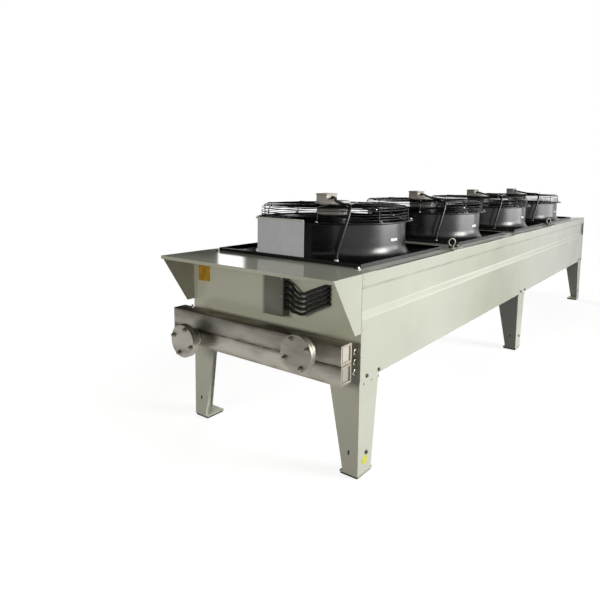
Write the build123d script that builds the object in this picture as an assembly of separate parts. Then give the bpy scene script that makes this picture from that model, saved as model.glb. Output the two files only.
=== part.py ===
from build123d import *
import math
import os

# A flat-bed dry cooler: a folded sheet casing on six legs, a fin coil in its floor with a
# stacked header pair at the front end, and a row of axial fans on its deck.
# Millimetres. +Z is up, +X is across, +Y runs from the front end to the plain rear end.
# The origin is on the floor, under the middle of the whole unit.

# Casing of folded sheet
casing_width = 1220.0
casing_length = 5460.0
casing_height = 543.0
sheet = 2.5
band_height = 68.0
recess_height = 128.0
step_height = 34.0
recess_depth = 14.0
end_flange = 30.0

# Legs, base plates and rubber pads
pad_inset = 4.0
pad_thickness = 12.0
base_width = 110.0
base_depth = 142.0
base_thickness = 6.0
anchor_radius = 8.0
leg_height = 495.0
leg_sheet = 4.0
leg_top_width = 188.0
leg_front_foot = 90.0
leg_side_foot = 130.0
leg_lip = 18.0
leg_slot_width = 12.0
leg_slot_length = 26.0
leg_slot_inset = 56.0
leg_slot_rise = 110.0
leg_tongue = 62.0
middle_leg_setback = 46.0

# Hood over the front connections
hood_reach = 248.0
hood_lip = 19.0
cheek_height = 295.0
cheek_toe = 57.0
cheek_flange = 25.0

# Coil, headers and pipe connections
coil_height = 215.0
header_length = 1208.0
header_gap = 75.0
header_depth = 90.0
header_height = 100.0
header_lift = 22.0
header_edge = 6.0
end_cap_frame = 9.0
end_cap_recess = 3.0
feeder_radius = 8.0
feeder_columns = 8
feeder_sides = 6
feeder_margin = 74.0
stub_inset = 193.0
stub_radius = 44.5
stub_bore = 41.0
stub_length = 67.0
pipe_flange_radius = 95.0
pipe_flange_thickness = 18.0
pipe_bolt_circle = 150.0
pipe_bolt_radius = 9.0
pipe_bolt_count = 4
blind_hole_room = 1.0
inlet_turn = -20.0
outlet_turn = 25.0
vent_radius = 9.0
vent_height = 26.0
vent_sides = 6
vent_inset = 114.0

# Terminal box and its leads
box_width = 140.0
box_depth = 57.0
box_height = 220.0
box_offset = 85.0
box_drop = 53.0
box_lid = 3.0
box_lead_count = 5
box_lead_radius = 8.0
box_lead_drop = 94.0
box_lead_pitch = 34.0
box_lead_start = 36.0
sag_reach = 100.0
sag_drop = 172.0
sag_pitch = 27.0
sag_forward = 8.0
lead_end_reach = 263.0
lead_end_drop = 77.0
lead_end_pitch = 24.0
lead_sides = 4
lead_steps = 14
bend_share = 0.45

# Fans
front_strip = 131.0
rear_strip = 354.0
least_fan_gap = 150.0
strip_inset = 4.0
plate_floor = 3.0
plate_rim = 20.0
plate_margin_x = 20.0
plate_margin_y = 12.5
tray_seat = 25.0
ring_bore_radius = 452.0
ring_wall = 3.0
ring_flare = 45.0
ring_flare_height = 72.0
ring_height = 206.0
ring_flange = 46.0
ring_flange_thickness = 6.0
guard_inset = 30.0
guard_height = 88.0
guard_shoulder = 30.0
guard_bar = 6.0
guard_ribs = 8
guard_hoops = 2
guard_eye_radius = 112.0
motor_plate_thickness = 6.0
motor_plate_overlap = 16.0
stator_clearance = 4.0
motor_box_width = 86.0
motor_box_length = 130.0
motor_box_height = 58.0
motor_box_corner = 8.0
motor_box_x = -63.0
motor_box_y = 8.0
shaft_radius = 15.0
shaft_clearance = 0.06
shaft_collar = 10.0
collar_gap = 0.2
hub_radius = 108.0
hub_height = 140.0
hub_drop = 126.0
blade_count = 5
blade_root_chord = 200.0
blade_tip_chord = 240.0
blade_thickness = 6.0
blade_camber = 16.0
blade_tip_gap = 12.0
blade_root_pitch = 38.0
blade_tip_pitch = 21.0
blade_sweep = 90.0
blade_spans = 3
round_facets = 26
hoop_facets = 20
small_facets = 16
hole_facets = 8

# Lifting eyes, document pouch and fan leads
eye_radius = 32.0
eye_hole = 17.5
eye_thickness = 14.0
eye_collar = 14.0
eye_inset = 66.0
eye_set_forward = 30.0
eye_turn = 35.0
pouch_width = 346.0
pouch_height = 229.0
pouch_thickness = 6.0
pouch_offset = -31.0
pouch_gap = 0.3
gland_radius = 11.0
gland_height = 16.0
fan_lead_radius = 9.0
fan_lead_start = 40.0
fan_lead_lift = 2.0
fan_lead_rise = 4.0
fan_lead_overhang = 16.0
fan_lead_drop = 180.0
lead_top_angle = -45.0
lead_foot_angle = -54.0
lead_reach = 34.0

# Levels
base_top = pad_thickness + base_thickness
casing_bottom = base_top + leg_height
casing_top = casing_bottom + casing_height
strip_top = casing_top + sheet
plate_top = casing_top + plate_floor
ring_top = plate_top + ring_height
guard_base = ring_top + ring_flange_thickness
guard_top = guard_base + guard_height
motor_top = guard_top + motor_plate_thickness
header_bottom = casing_bottom + header_lift
cheek_bottom = casing_top - cheek_height

# Places along and across the unit
half_width = casing_width / 2
header_reach = header_gap + header_depth
pipe_reach = header_reach + stub_length + 2 * pipe_flange_thickness
front_reach = max(pipe_reach, hood_reach + sheet)
front_y = front_reach - (casing_length + front_reach) / 2
rear_y = front_y + casing_length
header_front_y = front_y - header_reach
inner_side = half_width - sheet
ring_outer_radius = ring_bore_radius + ring_wall
flare_radius = ring_outer_radius + ring_flare
plate_half_width = flare_radius + plate_margin_x
plate_half_length = flare_radius + plate_margin_y
first_fan_y = front_y + front_strip + plate_half_length
last_fan_y = rear_y - rear_strip - plate_half_length
top_flange = half_width - plate_half_width + tray_seat
tray_length = 2 * plate_half_length
fan_run = casing_length - front_strip - rear_strip
fan_count = int((fan_run + least_fan_gap) // (tray_length + least_fan_gap))
fan_pitch = (last_fan_y - first_fan_y) / (fan_count - 1)
fan_places = [first_fan_y + fan_pitch * index for index in range(fan_count)]
flange_radius = ring_outer_radius + ring_flange
guard_radius = flange_radius - guard_inset
root_radius = hub_radius - 2 * blade_thickness
tip_radius = ring_bore_radius * math.cos(math.pi / round_facets) - blade_tip_gap
hub_bottom = ring_top - hub_drop


def save(node, *shapes):
    """Write one node, a single solid or a group of solids that don't touch."""
    group = shapes[0] if len(shapes) == 1 else Compound(children=list(shapes))
    export_step(group, f"parts/{node}.step")


def block(x_span, y_span, z_span):
    """Plain box between two limits on each axis."""
    size = [span[1] - span[0] for span in (x_span, y_span, z_span)]
    corner = (x_span[0], y_span[0], z_span[0])
    return Pos(*corner) * Box(*size, align=(Align.MIN, Align.MIN, Align.MIN))


def folded(points, plane, length):
    """Sheet folded along a polyline, its thickness laid to the left, extruded both ways."""
    strip = make_face(offset(Polyline(*points), amount=sheet, side=Side.LEFT))
    return extrude(plane * strip, length / 2, both=True)


def plate_yz(points, x_low, thickness):
    """Flat plate across X, with its outline in Y and Z."""
    outline = make_face(Polyline(*points, close=True))
    return extrude(Plane.YZ.offset(x_low) * outline, thickness)


def prism(radius, facets, z_low, z_high):
    """Upright column with flat facets."""
    section = Pos(0, 0, z_low) * RegularPolygon(radius, facets)
    return extrude(section, z_high - z_low)


def turned(profile, facets):
    """Closed (radius, height) profile turned about Z in flat facets."""
    columns = [
        [Vector(r, 0, z).rotate(Axis.Z, 360 * step / facets) for r, z in profile]
        for step in range(facets)
    ]
    faces = []
    for step in range(facets):
        here, there = columns[step - 1], columns[step]
        for k in range(len(profile)):
            corners = [here[k - 1], here[k], there[k], there[k - 1]]
            faces.append(Face(Wire.make_polygon(corners)))
    return Solid(Shell(faces))


def triangle(*corners):
    """Flat three-cornered face."""
    return Face(Wire.make_polygon(corners))


def skinned(sections):
    """Solid through a row of like sections, each an upper edge and then its lower edge."""
    faces = []
    half = len(sections[0]) // 2
    for near, far in zip(sections, sections[1:]):
        for k in range(2 * half):
            upper = k <= half
            faces.append(triangle(near[k - 1], near[k], far[k] if upper else far[k - 1]))
            faces.append(triangle(near[k - 1] if upper else near[k], far[k], far[k - 1]))
    for end in (sections[0], sections[-1]):
        for k in range(half - 1):
            faces.append(triangle(end[k], end[k + 1], end[-2 - k]))
            faces.append(triangle(end[k], end[-2 - k], end[-1 - k]))
    return Solid(Shell(faces))


def tube_path(points):
    """Straight runs joined by arcs as large as the runs beside each corner allow."""
    spots = [Vector(*point) for point in points]
    radii = []
    for before, here, after in zip(spots, spots[1:], spots[2:]):
        run_in, run_out = here - before, after - here
        turn = math.radians(run_in.get_angle(run_out))
        radii.append(bend_share * min(run_in.length, run_out.length) / math.tan(turn / 2))
    return FilletPolyline(*spots, radius=radii), radii


def lead(points, radius):
    """Lead with few sides along a route, in short straight lengths."""
    path, bends = tube_path(points)
    print("lead", round(path.length), "mm, bends", [round(bend) for bend in bends])
    sections = []
    for step in range(lead_steps + 1):
        ahead = path % (step / lead_steps)
        spot = Plane(path @ (step / lead_steps), x_dir=ahead.cross(Vector(1, -1, 1)), z_dir=ahead)
        rim = [Vector(radius, 0, 0).rotate(Axis.Z, 360 * k / lead_sides) for k in range(lead_sides)]
        sections.append([spot.from_local_coords(corner) for corner in rim])
    return skinned(sections)


def side_panel(side):
    """Side panel: plain top band, shallow recess, sloped step and lower face."""
    band_low = casing_top - band_height
    recess_low = band_low - recess_height
    recess_x = half_width - recess_depth
    points = [
        (half_width, casing_bottom),
        (half_width, recess_low - step_height),
        (recess_x, recess_low),
        (recess_x, band_low),
        (half_width, band_low),
        (half_width, casing_top),
        (half_width - top_flange, casing_top),
    ]
    panel = folded(points, Plane.XZ, casing_length - 2 * sheet)
    panel = Pos(0, (front_y + rear_y) / 2, 0) * panel
    return panel if side > 0 else mirror(panel, Plane.YZ)


def end_panel(y_outer, inward):
    """End panel closing the full width, with a flange folded in along its top."""
    web_y = sorted((y_outer, y_outer + inward * sheet))
    flange_y = sorted((y_outer, y_outer + inward * end_flange))
    flange_x = half_width - top_flange
    web = block((-half_width, half_width), web_y, (casing_bottom, casing_top))
    flange = block((-flange_x, flange_x), flange_y, (casing_top - sheet, casing_top))
    return web + flange


def leg_face(foot_width):
    """Outline of a leg's face, upright at the corner and slanted opposite, and of its lip."""
    foot, shoulder = base_top, casing_bottom
    face = [(0, foot), (foot_width, foot), (leg_top_width, shoulder), (0, shoulder)]
    lip = [face[1], face[2], (leg_top_width - leg_sheet, shoulder), (foot_width - leg_sheet, foot)]
    return face, lip


def leg():
    """Corner leg of folded sheet, its corner at the origin and its faces along +X and +Y."""
    side, side_lip = leg_face(leg_side_foot)
    front, front_lip = leg_face(leg_front_foot)
    turn = Plane((0, 0, 0), x_dir=(1, 0, 0), z_dir=(0, -1, 0))
    slot = chamfer(Rectangle(leg_slot_width, leg_slot_length).vertices(), leg_slot_width / 3)
    front_face = make_face(Polyline(*front, close=True))
    front_face -= Pos(leg_slot_inset, base_top + leg_slot_rise) * slot
    folded_leg = plate_yz(side, 0, leg_sheet) + plate_yz(side_lip, 0, leg_lip)
    folded_leg += extrude(turn * front_face, -leg_sheet)
    folded_leg += extrude(turn * make_face(Polyline(*front_lip, close=True)), -leg_lip)
    tongue_z = (casing_bottom, casing_bottom + leg_tongue)
    folded_leg += block((0, leg_sheet), (sheet, leg_top_width), tongue_z)
    folded_leg += block((-sheet, base_width), (0, base_depth), (pad_thickness, base_top))
    hole = Pos(base_width / 2, base_depth / 2, 0) * Cylinder(anchor_radius, 4 * base_top)
    return folded_leg - hole


def pad():
    """Rubber pad under a base plate, with the anchor hole through it."""
    x_span, y_span = [(pad_inset, size - pad_inset) for size in (base_width, base_depth)]
    hole = prism(anchor_radius + sheet, hole_facets, 0, pad_thickness)
    return block(x_span, y_span, (0, pad_thickness)) - Pos(base_width / 2, base_depth / 2, 0) * hole


def stand(shape, x_side, y_corner, y_way):
    """Place a leg or pad at a corner of the casing, turned to face it."""
    if x_side > 0:
        shape = mirror(shape, Plane.YZ)
    if y_way < 0:
        shape = mirror(shape, Plane.XZ)
    return Pos(x_side * inner_side, y_corner, 0) * shape


def header(z_low):
    """Rectangular header chamber with framed, slightly sunk end caps."""
    half = header_length / 2
    y_span = (header_front_y, header_front_y + header_depth)
    chamber = block((-half, half), y_span, (z_low, z_low + header_height))
    chamber = chamfer(chamber.edges().filter_by(Axis.X), header_edge)
    cap_y = (y_span[0] + end_cap_frame, y_span[1] - end_cap_frame)
    cap_z = (z_low + end_cap_frame, z_low + header_height - end_cap_frame)
    for x_end in (-half, half):
        chamber -= block((x_end - end_cap_recess, x_end + end_cap_recess), cap_y, cap_z)
    return chamber


def along_y(radius, y_span, facets):
    """Bar with flat facets along Y."""
    section = Plane((0, y_span[0], 0), z_dir=(0, 1, 0)) * RegularPolygon(radius, facets)
    return extrude(section, y_span[1] - y_span[0])


def bolt_places(turn):
    """Places of a pipe flange's bolts, turned about the pipe."""
    places = []
    for index in range(pipe_bolt_count):
        angle = math.radians(90 + turn + 360 * index / pipe_bolt_count)
        reach = pipe_bolt_circle / 2
        places.append(Pos(reach * math.cos(angle), 0, reach * math.sin(angle)))
    return places


def pipe_stub(turn):
    """Short pipe welded to the header, with a bolting flange, about its own axis."""
    face_y = header_front_y - stub_length - pipe_flange_thickness
    stub = along_y(stub_radius, (face_y, header_front_y), small_facets)
    stub += along_y(pipe_flange_radius, (face_y, face_y + pipe_flange_thickness), round_facets)
    stub -= along_y(stub_bore, (face_y, header_front_y), small_facets)
    hole = Rot(90, 0, 0) * Cylinder(pipe_bolt_radius, 4 * pipe_flange_thickness)
    return stub - [place * Pos(0, face_y, 0) * hole for place in bolt_places(turn)]


def blind_flange(turn):
    """Blank plate bolted over a pipe flange, about the pipe's axis."""
    face_y = header_front_y - stub_length - pipe_flange_thickness
    y_span = (face_y - pipe_flange_thickness, face_y)
    hole = along_y(pipe_bolt_radius + blind_hole_room, y_span, hole_facets)
    plate = along_y(pipe_flange_radius, y_span, round_facets)
    return plate - [place * hole for place in bolt_places(turn)]


def fan_plate():
    """Square tray under a fan, with a raised rim and a round hole."""
    x_span, y_span = (-plate_half_width, plate_half_width), (-plate_half_length, plate_half_length)
    inside = [(span[0] + plate_floor, span[1] - plate_floor) for span in (x_span, y_span)]
    tray = block(x_span, y_span, (casing_top, plate_top + plate_rim))
    tray -= block(*inside, (plate_top, plate_top + plate_rim))
    return tray - prism(flare_radius - ring_wall, round_facets, casing_top, plate_top)


def fan_ring():
    """Spun fan ring: bell-mouth flare on the tray, straight wall and top flange."""
    bend = ring_flare_height / 3
    profile = [
        (flare_radius, plate_top),
        (ring_outer_radius + ring_flare / 3, plate_top + bend),
        (ring_outer_radius, plate_top + ring_flare_height),
        (ring_outer_radius, ring_top),
        (flange_radius, ring_top),
        (flange_radius, guard_base),
        (ring_bore_radius, guard_base),
        (ring_bore_radius, plate_top + ring_flare_height),
        (ring_bore_radius + ring_flare / 3, plate_top + bend - ring_wall),
        (flare_radius - 2 * ring_wall, plate_top),
    ]
    return turned(profile, round_facets)


def hoop(radius, z_low, facets):
    """Square wire bent into a hoop, its outer corners at a radius."""
    inner, z_high = radius - guard_bar, z_low + guard_bar
    profile = [(radius, z_low), (radius, z_high), (inner, z_high), (inner, z_low)]
    return turned(profile, facets)


def fan_guard():
    """Guard basket: round-shouldered ribs on the ring's flange, hoops and the motor eye."""
    under = guard_top - guard_bar
    rib_outline = [
        (guard_radius, guard_base),
        (guard_radius, under - guard_shoulder),
        (guard_radius - guard_shoulder, guard_top),
        (guard_eye_radius, guard_top),
        (guard_eye_radius, under),
        (guard_radius - guard_shoulder - guard_bar / 2, under),
        (guard_radius - guard_bar, under - guard_shoulder),
        (guard_radius - guard_bar, guard_base),
    ]
    section = Plane.XZ * make_face(Polyline(*rib_outline, close=True))
    rib = extrude(section, guard_bar / 2, both=True)
    spread = (guard_radius - guard_shoulder - guard_eye_radius) / guard_hoops
    guard = hoop(guard_eye_radius + guard_bar, under, small_facets)
    for index in range(1, guard_hoops):
        guard += hoop(guard_eye_radius + spread * index, under, hoop_facets)
    for index in range(guard_ribs):
        guard += Rot(0, 0, 360 * (index + 0.5) / guard_ribs) * rib
    return guard


def fan_motor():
    """Motor on the guard's eye: support plate, stator, shaft with end collar, lead box."""
    hub_top = hub_bottom + hub_height
    plate_radius = guard_eye_radius + motor_plate_overlap
    stator_radius = guard_eye_radius - stator_clearance
    motor = prism(plate_radius, small_facets, guard_top, motor_top)
    motor += prism(stator_radius, small_facets, hub_top + shaft_collar, guard_top)
    collar_top = hub_bottom - collar_gap
    shaft_end = collar_top - shaft_collar
    shaft_length = hub_top + shaft_collar - shaft_end
    upright = (Align.CENTER, Align.CENTER, Align.MIN)
    motor += Pos(0, 0, shaft_end) * Cylinder(shaft_radius, shaft_length, align=upright)
    motor += prism(shaft_radius + shaft_collar, hole_facets, shaft_end, collar_top)
    x_span = (motor_box_x - motor_box_width / 2, motor_box_x + motor_box_width / 2)
    y_span = (motor_box_y - motor_box_length / 2, motor_box_y + motor_box_length / 2)
    box = block(x_span, y_span, (motor_top, motor_top + motor_box_height))
    return motor + chamfer(box.edges().filter_by(Axis.Z), motor_box_corner)


def blade_section(share):
    """Cambered section of a blade, wrapped round the fan's axis at a share of its reach."""
    radius = root_radius + (tip_radius - root_radius) * share
    pitch = math.radians(blade_root_pitch + (blade_tip_pitch - blade_root_pitch) * share)
    chord = blade_root_chord + (blade_tip_chord - blade_root_chord) * share
    middle = hub_bottom + hub_height / 2

    def corner(along, side):
        sweep_back = blade_sweep * share**2 + along * chord * math.cos(pitch)
        rise = along * chord * math.sin(pitch) + blade_camber * (0.5 - 4 * along**2)
        height = middle + rise + side * blade_thickness / 2
        return Vector(radius, 0, height).rotate(Axis.Z, math.degrees(sweep_back / radius))

    stations = (-0.5, 0.0, 0.5)
    upper = [corner(along, 1) for along in stations]
    lower = [corner(along, -1) for along in stations]
    return upper + lower[::-1]


def fan_rotor():
    """Impeller: hub on the motor shaft with swept, twisted and cambered blades."""
    blade = skinned([blade_section(step / blade_spans) for step in range(blade_spans + 1)])
    rotor = prism(hub_radius, small_facets, hub_bottom, hub_bottom + hub_height)
    for index in range(blade_count):
        rotor += Rot(0, 0, 360 * index / blade_count) * blade
    bore = Cylinder(shaft_radius + shaft_clearance, 4 * hub_height)
    return rotor - Pos(0, 0, hub_bottom) * bore


def fan_lead():
    """Lead from the motor's lead box over the guard and down to a gland on the tray."""
    start = motor_box_x + motor_box_width / 2
    high = motor_top + motor_box_height / 2
    over = guard_top + fan_lead_radius + fan_lead_lift
    drop = flange_radius + lead_reach
    tray = plate_top + gland_height

    def out(reach, angle, height):
        return Vector(reach, 0, height).rotate(Axis.Z, angle)

    points = [
        (start, motor_box_y, high),
        (start + fan_lead_start, motor_box_y, high),
        out(guard_radius + fan_lead_overhang, lead_top_angle, over + fan_lead_rise),
        out(drop, lead_foot_angle, over - fan_lead_drop),
        out(drop, lead_foot_angle, tray),
    ]
    gland = prism(gland_radius, hole_facets, plate_top, tray)
    return lead(points, fan_lead_radius), Pos(out(drop, lead_foot_angle, 0)) * gland


def box_lead(index):
    """Lead from the terminal box's side, sagging across to the end panel."""
    start_x = box_offset + box_width / 2
    end_x = start_x + lead_end_reach
    middle_y = front_y - box_depth / 2
    high = casing_top - box_lead_drop - box_lead_pitch * index
    low = casing_top - sag_drop - sag_pitch * index
    end = casing_top - lead_end_drop - lead_end_pitch * index
    points = [
        (start_x, middle_y, high),
        (start_x + box_lead_start, middle_y, high),
        (start_x + sag_reach, middle_y - sag_forward, low),
        (end_x, middle_y - sag_forward, end),
        (end_x, front_y, end),
    ]
    return lead(points, box_lead_radius)


def terminal_box():
    """Wall box on the front end panel, with a lid standing proud of its edges."""
    x_span = (box_offset - box_width / 2, box_offset + box_width / 2)
    top = casing_top - box_drop
    y_back = front_y - box_depth + box_lid
    body = block(x_span, (y_back, front_y), (top - box_height, top))
    x_lid = (x_span[0] - box_lid, x_span[1] + box_lid)
    z_lid = (top - box_height - box_lid, top + box_lid)
    return body + block(x_lid, (front_y - box_depth, y_back), z_lid)


def lifting_eye(x_side):
    """Eye nut standing on the deck strip, its hole turned towards the unit's front corner."""
    centre = Pos(0, 0, eye_collar + (eye_radius + eye_hole) / 2)
    blank = extrude(Plane.YZ * RegularPolygon(eye_radius, small_facets), eye_thickness / 2, both=True)
    eye = prism(eye_hole, hole_facets, 0, eye_collar) + centre * blank
    eye -= centre * Rot(0, 90, 0) * Cylinder(eye_hole, 4 * eye_thickness)
    return Rot(0, 0, -x_side * eye_turn) * eye


os.makedirs("parts", exist_ok=True)

# Casing panels
save("side_panel_left", side_panel(-1))
save("side_panel_right", side_panel(1))
save("front_end_panel", end_panel(front_y, 1))
save("rear_end_panel", end_panel(rear_y, -1))

# Deck strips between and behind the fan trays
strip_half = half_width - strip_inset
strip_x, strip_z = (-strip_half, strip_half), (casing_top, strip_top)
gaps = [
    (before + plate_half_length, after - plate_half_length)
    for before, after in zip(fan_places, fan_places[1:])
]
save("deck_strips", *[block(strip_x, gap, strip_z) for gap in gaps])
save("rear_top_cover", block((-half_width, half_width), (rear_y - rear_strip, rear_y), strip_z))

# Hood: top plate with a folded front lip, and a cheek at each side
hood_front = front_y - hood_reach
hood_fold = [
    (hood_front - sheet, strip_top - hood_lip),
    (hood_front - sheet, strip_top),
    (front_y + front_strip, strip_top),
]
hood_top = make_face(offset(Polyline(*hood_fold), amount=sheet, side=Side.RIGHT))
save("hood_top", extrude(Plane.YZ * hood_top, half_width, both=True))
cheek_outline = [
    (front_y, casing_top),
    (hood_front, casing_top),
    (front_y - cheek_toe, cheek_bottom),
    (front_y, cheek_bottom),
]
cheek = plate_yz(cheek_outline, inner_side, sheet)
cheek += block(
    (inner_side - cheek_flange, inner_side), (front_y - sheet, front_y), (cheek_bottom, casing_top)
)
save("hood_cheek_right", cheek)
save("hood_cheek_left", mirror(cheek, Plane.YZ))

# Legs and pads, front and middle pairs facing the front, rear pair facing the rear
middle_y = (front_y + rear_y) / 2 - middle_leg_setback
stands = [("front", front_y, 1), ("middle", middle_y, 1), ("rear", rear_y, -1)]
one_leg, one_pad = leg(), pad()
pads = []
for place, y_corner, y_way in stands:
    for side, x_side in (("left", -1), ("right", 1)):
        save(f"leg_{place}_{side}", stand(one_leg, x_side, y_corner, y_way))
        pads.append(stand(one_pad, x_side, y_corner, y_way))
save("foot_pads", *pads)

# Coil block in the casing floor, with its headers, feeders and pipe connections
coil_half = inner_side - leg_sheet
coil_y = (front_y + sheet, rear_y - sheet)
coil_z = (casing_bottom, casing_bottom + coil_height)
save("coil_fin_block", block((-coil_half, coil_half), coil_y, coil_z))
header_levels = [header_bottom, header_bottom + header_height]
vent_place = (vent_inset - header_length / 2, header_front_y + header_depth / 2)
vent_base = header_bottom + 2 * header_height
save("header_lower", header(header_levels[0]))
save("header_upper", header(header_levels[1]))
vent = prism(vent_radius, vent_sides, vent_base, vent_base + vent_height)
save("vent_plug", Pos(*vent_place, 0) * vent)
feeders = []
feeder_span = header_length - 2 * feeder_margin
for z_low in header_levels:
    for column in range(feeder_columns):
        x = feeder_span * (column / (feeder_columns - 1) - 0.5)
        z = z_low + header_height / 2
        outline = RegularPolygon(feeder_radius, feeder_sides)
        section = Plane((x, front_y, z), z_dir=(0, -1, 0)) * outline
        feeders.append(extrude(section, header_gap))
save("header_feeders", *feeders)
connections = [("inlet", -1, header_levels[0], inlet_turn), ("outlet", 1, header_levels[1], outlet_turn)]
for name, x_side, z_low, turn in connections:
    place = Pos(x_side * (header_length / 2 - stub_inset), 0, z_low + header_height / 2)
    save(f"{name}_stub", place * pipe_stub(turn))
    save(f"{name}_blind_flange", place * blind_flange(turn))

# Terminal box and leads under the hood
save("terminal_box", terminal_box())
save("box_leads", *[box_lead(index) for index in range(box_lead_count)])

# Fans
makers = {
    "fan_plate": fan_plate,
    "fan_ring": fan_ring,
    "fan_guard": fan_guard,
    "fan_motor": fan_motor,
    "fan_rotor": fan_rotor,
}
for name, make in makers.items():
    shape = make()
    for index, fan_y in enumerate(fan_places):
        save(f"{name}_{index + 1}", Pos(0, fan_y, 0) * shape)
one_lead, one_gland = fan_lead()
save("fan_leads", *[Pos(0, fan_y, 0) * one_lead for fan_y in fan_places])
save("lead_glands", *[Pos(0, fan_y, 0) * one_gland for fan_y in fan_places])

# Lifting eyes on the first and last deck strips
eyes = []
for gap in (gaps[0], gaps[-1]):
    for x_side in (-1, 1):
        place = (x_side * (strip_half - eye_inset), sum(gap) / 2 - eye_set_forward, strip_top)
        eyes.append(Pos(*place) * lifting_eye(x_side))
save("lifting_eyes", *eyes)

# Document pouch standing in the first tray, against the ring's flange
pouch_back = fan_places[0] - flange_radius - pouch_gap
pouch_x = (pouch_offset - pouch_width / 2, pouch_offset + pouch_width / 2)
pouch_y = (pouch_back - pouch_thickness, pouch_back)
save("document_pouch", block(pouch_x, pouch_y, (plate_top, plate_top + pouch_height)))
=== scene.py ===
import math

import bmesh
import bpy
import numpy as np
from mathutils import Matrix, Vector


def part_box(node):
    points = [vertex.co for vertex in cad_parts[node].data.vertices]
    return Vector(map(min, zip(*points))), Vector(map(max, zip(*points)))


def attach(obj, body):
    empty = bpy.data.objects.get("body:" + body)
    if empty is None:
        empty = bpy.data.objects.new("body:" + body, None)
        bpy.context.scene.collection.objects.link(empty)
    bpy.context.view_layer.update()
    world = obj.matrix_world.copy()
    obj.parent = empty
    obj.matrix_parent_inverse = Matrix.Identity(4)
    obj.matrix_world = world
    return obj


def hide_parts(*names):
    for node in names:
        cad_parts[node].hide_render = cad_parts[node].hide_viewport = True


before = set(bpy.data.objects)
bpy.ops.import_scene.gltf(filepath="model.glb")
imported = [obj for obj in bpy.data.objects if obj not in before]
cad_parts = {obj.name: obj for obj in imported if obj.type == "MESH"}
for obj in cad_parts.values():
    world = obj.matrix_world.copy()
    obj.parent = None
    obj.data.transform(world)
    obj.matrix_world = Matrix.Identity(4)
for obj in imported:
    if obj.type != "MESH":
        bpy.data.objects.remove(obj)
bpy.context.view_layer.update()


# Legs
# Six legs, each folded to an angle from 4 mm sheet and welded to a base plate, in the casing's own
# powder coat. Two hex bolts go through the casing's lower edge into each leg's tongue, with three
# screws below.

def colour(red, green, blue):
    """Linear colour of a paint chip given in 0 to 255 steps."""
    chip = [value / 255 for value in (red, green, blue)]
    line = [c / 12.92 if c <= 0.04045 else ((c + 0.055) / 1.055) ** 2.4 for c in chip]
    return (*line, 1.0)


def shader_of(finish):
    """The one shader of a finish."""
    return finish.node_tree.nodes["Principled BSDF"]


def new_finish(name, base, roughness, metallic=0.0):
    """Material with one shader."""
    finish = bpy.data.materials.new(name)
    finish.use_nodes = True
    sockets = shader_of(finish).inputs
    sockets["Base Color"].default_value = base
    sockets["Roughness"].default_value = roughness
    sockets["Metallic"].default_value = metallic
    return finish


def node(finish, kind, inputs, **settings):
    """One shader node, its inputs given as plain values or as sockets to link."""
    made = finish.node_tree.nodes.new("ShaderNode" + kind)
    for key, value in settings.items():
        setattr(made, key, value)
    for key, value in inputs.items():
        if isinstance(value, bpy.types.NodeSocket):
            finish.node_tree.links.new(value, made.inputs[key])
        else:
            made.inputs[key].default_value = value
    return made


def feed(finish, socket, value):
    """Link a worked-out value to one of the shader's sockets."""
    finish.node_tree.links.new(value, shader_of(finish).inputs[socket])


def place_in_unit(finish):
    """Place on the unit in metres."""
    return node(finish, "TexCoord", {}).outputs["Object"]


def grain(finish, size, stretch=(1, 1, 1), detail=3.0):
    """Noise from 0 to 1 with features of a size in metres, drawn out along an axis."""
    scale = [1 / (size * factor) for factor in stretch]
    spot = node(finish, "VectorMath", {0: place_in_unit(finish), 1: scale}, operation="MULTIPLY")
    noise = node(finish, "TexNoise", {"Vector": spot.outputs[0], "Scale": 1.0, "Detail": detail})
    return noise.outputs["Fac"]


def graded(finish, value, low, high, first, second):
    """Value between two limits spread over two other numbers."""
    limits = {"From Min": low, "From Max": high, "To Min": first, "To Max": second}
    return node(finish, "MapRange", {"Value": value, **limits}).outputs["Result"]


def sums(finish, operation, first, second):
    """One sum of two values."""
    return node(finish, "Math", {0: first, 1: second}, operation=operation).outputs[0]


def tint(finish, share, first, second):
    """Blend of two colours."""
    blend = node(finish, "Mix", {0: share, 6: first, 7: second}, data_type="RGBA")
    return blend.outputs[2]


def relief(finish, height, distance, strength=1.0):
    """Bump of a depth in metres."""
    bump = node(finish, "Bump", {"Height": height, "Distance": distance, "Strength": strength})
    feed(finish, "Normal", bump.outputs["Normal"])


def facing_up(finish):
    """How far a surface looks up, from -1 to 1."""
    normal = node(finish, "NewGeometry", {}).outputs["Normal"]
    return node(finish, "SeparateXYZ", {"Vector": normal}).outputs["Z"]


def powder_coat(name, base, roughness):
    """Satin powder coat: orange peel, faint clouding, thin dust on top and dull handling marks."""
    finish = new_finish(name, base, roughness)
    cloud = grain(finish, 0.45)
    dull = grain(finish, 0.10, stretch=(1, 3, 1), detail=2.0)
    darker = tuple(c * 0.93 for c in base[:3]) + (1.0,)
    lighter = tuple(min(1.0, c * 1.04) for c in base[:3]) + (1.0,)
    paint = tint(finish, graded(finish, cloud, 0.3, 0.7, 0.0, 1.0), darker, lighter)
    settled = graded(finish, facing_up(finish), 0.6, 1.0, 0.0, 0.10)
    dust = sums(finish, "MULTIPLY", settled, graded(finish, dull, 0.35, 0.7, 0.2, 1.0))
    feed(finish, "Base Color", tint(finish, dust, paint, colour(170, 164, 148)))
    gloss = graded(finish, dull, 0.3, 0.7, roughness, roughness + 0.05)
    feed(finish, "Roughness", gloss)
    relief(finish, grain(finish, 0.004, detail=1.0), 0.00006, 0.08)
    return finish


def coat_nodes(finish, *names):
    """Give CAD nodes a finish."""
    for name in names:
        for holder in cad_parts[name].material_slots:
            holder.material = finish


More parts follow.
